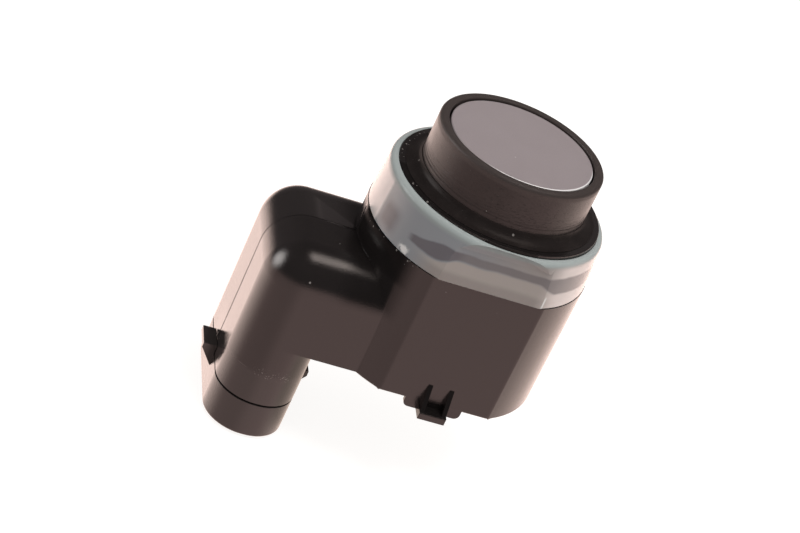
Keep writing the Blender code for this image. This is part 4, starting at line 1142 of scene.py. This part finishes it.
# %% [markdown]
# ## The socket's collar
#
# The end of the tube is a separate ring, and a dark line shows where it joins. On each long side it has a tooth
# that the plug's latch climbs over. The tooth is a block whose lower edge is drawn in to a ramp. The collar's own
# rim is rounded, since a plug has to slip over it.

# %% The socket's collar
RIM_ROUND = 0.3 * MM
SEAM_GAP = 0.23 * MM
LIP_ROUND = 0.06 * MM
LUG_HALF_WIDTH = 1.6 * MM
LUG_HEIGHT = 2.6 * MM
LUG_RAMP_TOP = 0.65 * MM
LUG_GAP = 0.05 * MM


def make_lug(side):
    nose = socket_low.x if side < 0 else socket_high.x
    wall = TUBE_X + side * TUBE_HALF_X
    root = wall - side * 0.3 * MM
    low = socket_high.z - LUG_HEIGHT - 0.33 * MM
    collar_top = SEAM_Z - SEAM_GAP
    lug = block("lug", min(root, nose), max(root, nose), -LUG_HALF_WIDTH, LUG_HALF_WIDTH, low, socket_high.z)
    round_edges(lug, lambda e: all(at(v.co.x, nose) for v in e.verts), SMALL_EDGE, 2)
    edit(lug, "VERT", lambda v: abs(v.co.x - nose) < 2 * SMALL_EDGE and v.co.z < low + 2 * SMALL_EDGE)
    bpy.ops.transform.translate(value=(0.0, 0.0, socket_high.z - LUG_RAMP_TOP - low))
    leave()
    notch = block("notch", root - OVERRUN if side > 0 else wall - LUG_GAP,
                  wall + LUG_GAP if side > 0 else root + OVERRUN, -LUG_HALF_WIDTH - OVERRUN, LUG_HALF_WIDTH + OVERRUN,
                  collar_top - FIT / 2, socket_high.z + OVERRUN)
    return combine(lug, notch, "DIFFERENCE")


def make_collar():
    collar = oval("socket_end", 0.0, RIM_Z, SEAM_Z - SEAM_GAP, PILLOW_STEPS)
    round_edges(collar, lambda e: all(at(v.co.z, RIM_Z) for v in e.verts), RIM_ROUND, 4)
    round_edges(collar, lambda e: all(at(v.co.z, SEAM_Z - SEAM_GAP) for v in e.verts), LIP_ROUND, 2)
    for side in (-1, 1):
        combine(collar, make_lug(side), "UNION")
    room = oval("spigot_room", spigot_inset - FIT, housing_low.z - FIT, SEAM_Z + OVERRUN)
    combine(collar, room, "DIFFERENCE")
    return combine(collar, oval("plug_room", SOCKET_WALL, RIM_Z - OVERRUN, SEAM_Z), "DIFFERENCE")


collar = make_collar()
polish(collar, black_plastic)
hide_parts("socket_collar")

# %% [markdown]
# ## The silicone ring
#
# It is turned, then cut flat on two sides, as the body is. The cut leans out near the top and leaves the lip whole,
# because the lip runs right round the flange. The lip is pulled down on the side away from the arm, as in the
# picture, where the ring doesn't sit quite level. The groove inside goes over the housing's rib.

# %% The silicone ring
RING_DRAFT = 0.3 * MM
RING_LIP = 0.14 * MM
RING_HANG = 0.285 * MM
LIP_GAP = 0.04 * MM
LEAN_FOOT = -7.3 * MM
LEAN_OUT = 0.60 * MM
SAG_ANGLE = math.radians(1.0)


def flat_cutter(side, flat):
    """A block beyond one flat. The upper part of its inner face leans outwards."""
    out = ring_high.x + OVERRUN
    cutter = block("flat_cutter", -out, out, *sorted((side * flat, side * out)), ring_low.z - OVERRUN,
                   ring_high.z + 0.1 * MM)
    edit(cutter, "FACE", lambda face: True)
    bpy.ops.mesh.bisect(plane_co=(0.0, 0.0, LEAN_FOOT), plane_no=(0.0, 0.0, 1.0), threshold=1e-7)
    leave()
    edit(cutter, "VERT", lambda v: at(abs(v.co.y), flat) and v.co.z > LEAN_FOOT + 0.1 * MM)
    bpy.ops.transform.translate(value=(0.0, side * LEAN_OUT, 0.0))
    leave()
    return cutter


def make_ring():
    outer = ring_high.x
    lip = FLANGE_RADIUS + LIP_GAP
    inner = BARREL_RADIUS + FIT
    foot = ring_low.z - RING_HANG
    under_flange = FLANGE_Z - FLANGE_EDGE - LIP_GAP
    rounding = outer - RING_DRAFT - lip - RING_LIP
    edge = 0.12 * MM
    ring = turned("silicone_ring", [
        (inner, foot), (inner, under_flange - FLANGE_TAPER), (lip, under_flange), (lip, ring_high.z - 0.04 * MM),
        (lip + 0.04 * MM, ring_high.z), *arc((lip + RING_LIP, ring_high.z - rounding), rounding, 90, 0, 10),
        *arc((outer - edge, foot + edge), edge, 0, -90, 4)], 180)
    for side in (-1, 1):
        combine(ring, flat_cutter(side, ring_high.y), "DIFFERENCE")
    edit(ring, "VERT", lambda v: v.co.z > LEAN_FOOT + 0.05 * MM)
    bpy.ops.transform.rotate(value=-SAG_ANGLE, orient_axis="Y", center_override=(-outer, 0.0, ring_high.z))
    leave()
    groove = flatted_drum("groove", RIB_RADIUS + FIT, RIB_FLAT + FIT, RIB_TOP - RIB_HEIGHT - FIT, RIB_TOP + FIT)
    return combine(ring, groove, "DIFFERENCE")


ring = make_ring()
polish(ring, silicone)
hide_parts("seal_ring")

# %% [markdown]
# ## The rubber sleeve
#
# A turned piece again. Its rim stands a hair above the disc. The collar ends in a sharp edge, and from there a
# hollow skirt runs out and down to the flange, so no gap shows. Above the edge are a few shallow rings, left by the
# mould.

# %% The rubber sleeve
COLLAR_RADIUS = 8.95 * MM
BRIM_RADIUS = 10.35 * MM
NECK_RADIUS = 8.55 * MM
BEAD_HEIGHT = 1.2 * MM
FINE_RING_COUNT = 5
FINE_RING_PITCH = 0.34 * MM
FINE_RING_DEPTH = 0.018 * MM


def make_sleeve():
    rim = sleeve_high.z
    edge = 0.40 * MM
    inside = cup_high.x + 0.2 * MM
    seat = cup_low.z - FIT
    ledge = cup_high.x - 0.9 * MM
    bead_top = sleeve_low.z + BEAD_HEIGHT
    outline = arc((inside + 0.2 * MM, rim - 0.2 * MM), 0.2 * MM, 180, 90, 4)
    outline += arc((COLLAR_RADIUS - edge, rim - edge), edge, 90, 0)
    brim_foot = FLANGE_Z + LIP_GAP
    brim_drop = 1.5 * MM
    first = BRIM_Z + 0.2 * MM + FINE_RING_COUNT * FINE_RING_PITCH
    for i in range(FINE_RING_COUNT):
        z = first - i * FINE_RING_PITCH
        outline += [(COLLAR_RADIUS, z), (COLLAR_RADIUS - FINE_RING_DEPTH, z - FINE_RING_PITCH / 4),
                    (COLLAR_RADIUS, z - FINE_RING_PITCH / 2)]
    outline += [(COLLAR_RADIUS, BRIM_Z), (COLLAR_RADIUS + 0.08 * MM, BRIM_Z - 0.03 * MM)]
    outline += [(BRIM_RADIUS - brim_drop * math.cos(a), brim_foot + brim_drop * (1 - math.sin(a))) for a in
                (math.radians(35 + 55 * i / 8) for i in range(9))]
    outline += [(NECK_RADIUS, brim_foot), (NECK_RADIUS, bead_top), (sleeve_high.x, bead_top),
                (sleeve_high.x, sleeve_low.z), (ledge, sleeve_low.z), (ledge, seat), (inside, seat)]
    sleeve = turned("rubber_sleeve", outline, 180)
    for side in (-1, 1):
        bead_cut = block("bead_cut", -sleeve_high.x - OVERRUN, sleeve_high.x + OVERRUN,
                         *sorted((side * sleeve_high.y, side * (sleeve_high.x + OVERRUN))),
                         sleeve_low.z - OVERRUN, bead_top + 0.01 * MM)
        combine(sleeve, bead_cut, "DIFFERENCE")
    return sleeve


sleeve = make_sleeve()
polish(sleeve, rubber, angle=40.0)
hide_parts("decoupling_ring")

# %% [markdown]
# ## The cup and its face
#
# The face of the cup is the disc that moves the air. It is turned with a tiny rounded edge. The bright line that
# follows the near side of the disc is a painted highlight, laid on that edge by the disc's finish. The hollow
# behind it has two flats, which make the face stiffer one way than the other.

# %% The cup and its face
FACE_THICKNESS = 0.6 * MM
FACE_BEAD = 0.05 * MM
BEAD_INSET = 0.13 * MM
BEAD_RISE_WIDTH = 0.35 * MM


def make_cup():
    radius = cup_high.x
    crest = radius - BEAD_INSET
    cup = turned("metal_cup", [
        (0.001 * MM, 0.0), (crest - BEAD_RISE_WIDTH, 0.0), (crest - 0.04 * MM, FACE_BEAD), (crest, FACE_BEAD),
        (radius - 0.03 * MM, -0.01 * MM), (radius, -0.06 * MM), (radius, cup_low.z), (0.001 * MM, cup_low.z)], 180)
    room = flatted_drum("cup_room", radius - 1.25 * MM, radius - 2.75 * MM, cup_low.z - OVERRUN, -FACE_THICKNESS)
    return combine(cup, room, "DIFFERENCE")


cup = make_cup()
polish(cup, face_metal, angle=50.0)
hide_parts("diaphragm_cup")

# %% [markdown]
# ## The finished look's box
#
# The box of the finished look is printed, as the solids' box was at the start. The finished look
# has to stay inside the solids' box.

# %% Print the finished look's box
looks_box = [list(corner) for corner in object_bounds()]
print("looks from", looks_box[0], "to", looks_box[1])
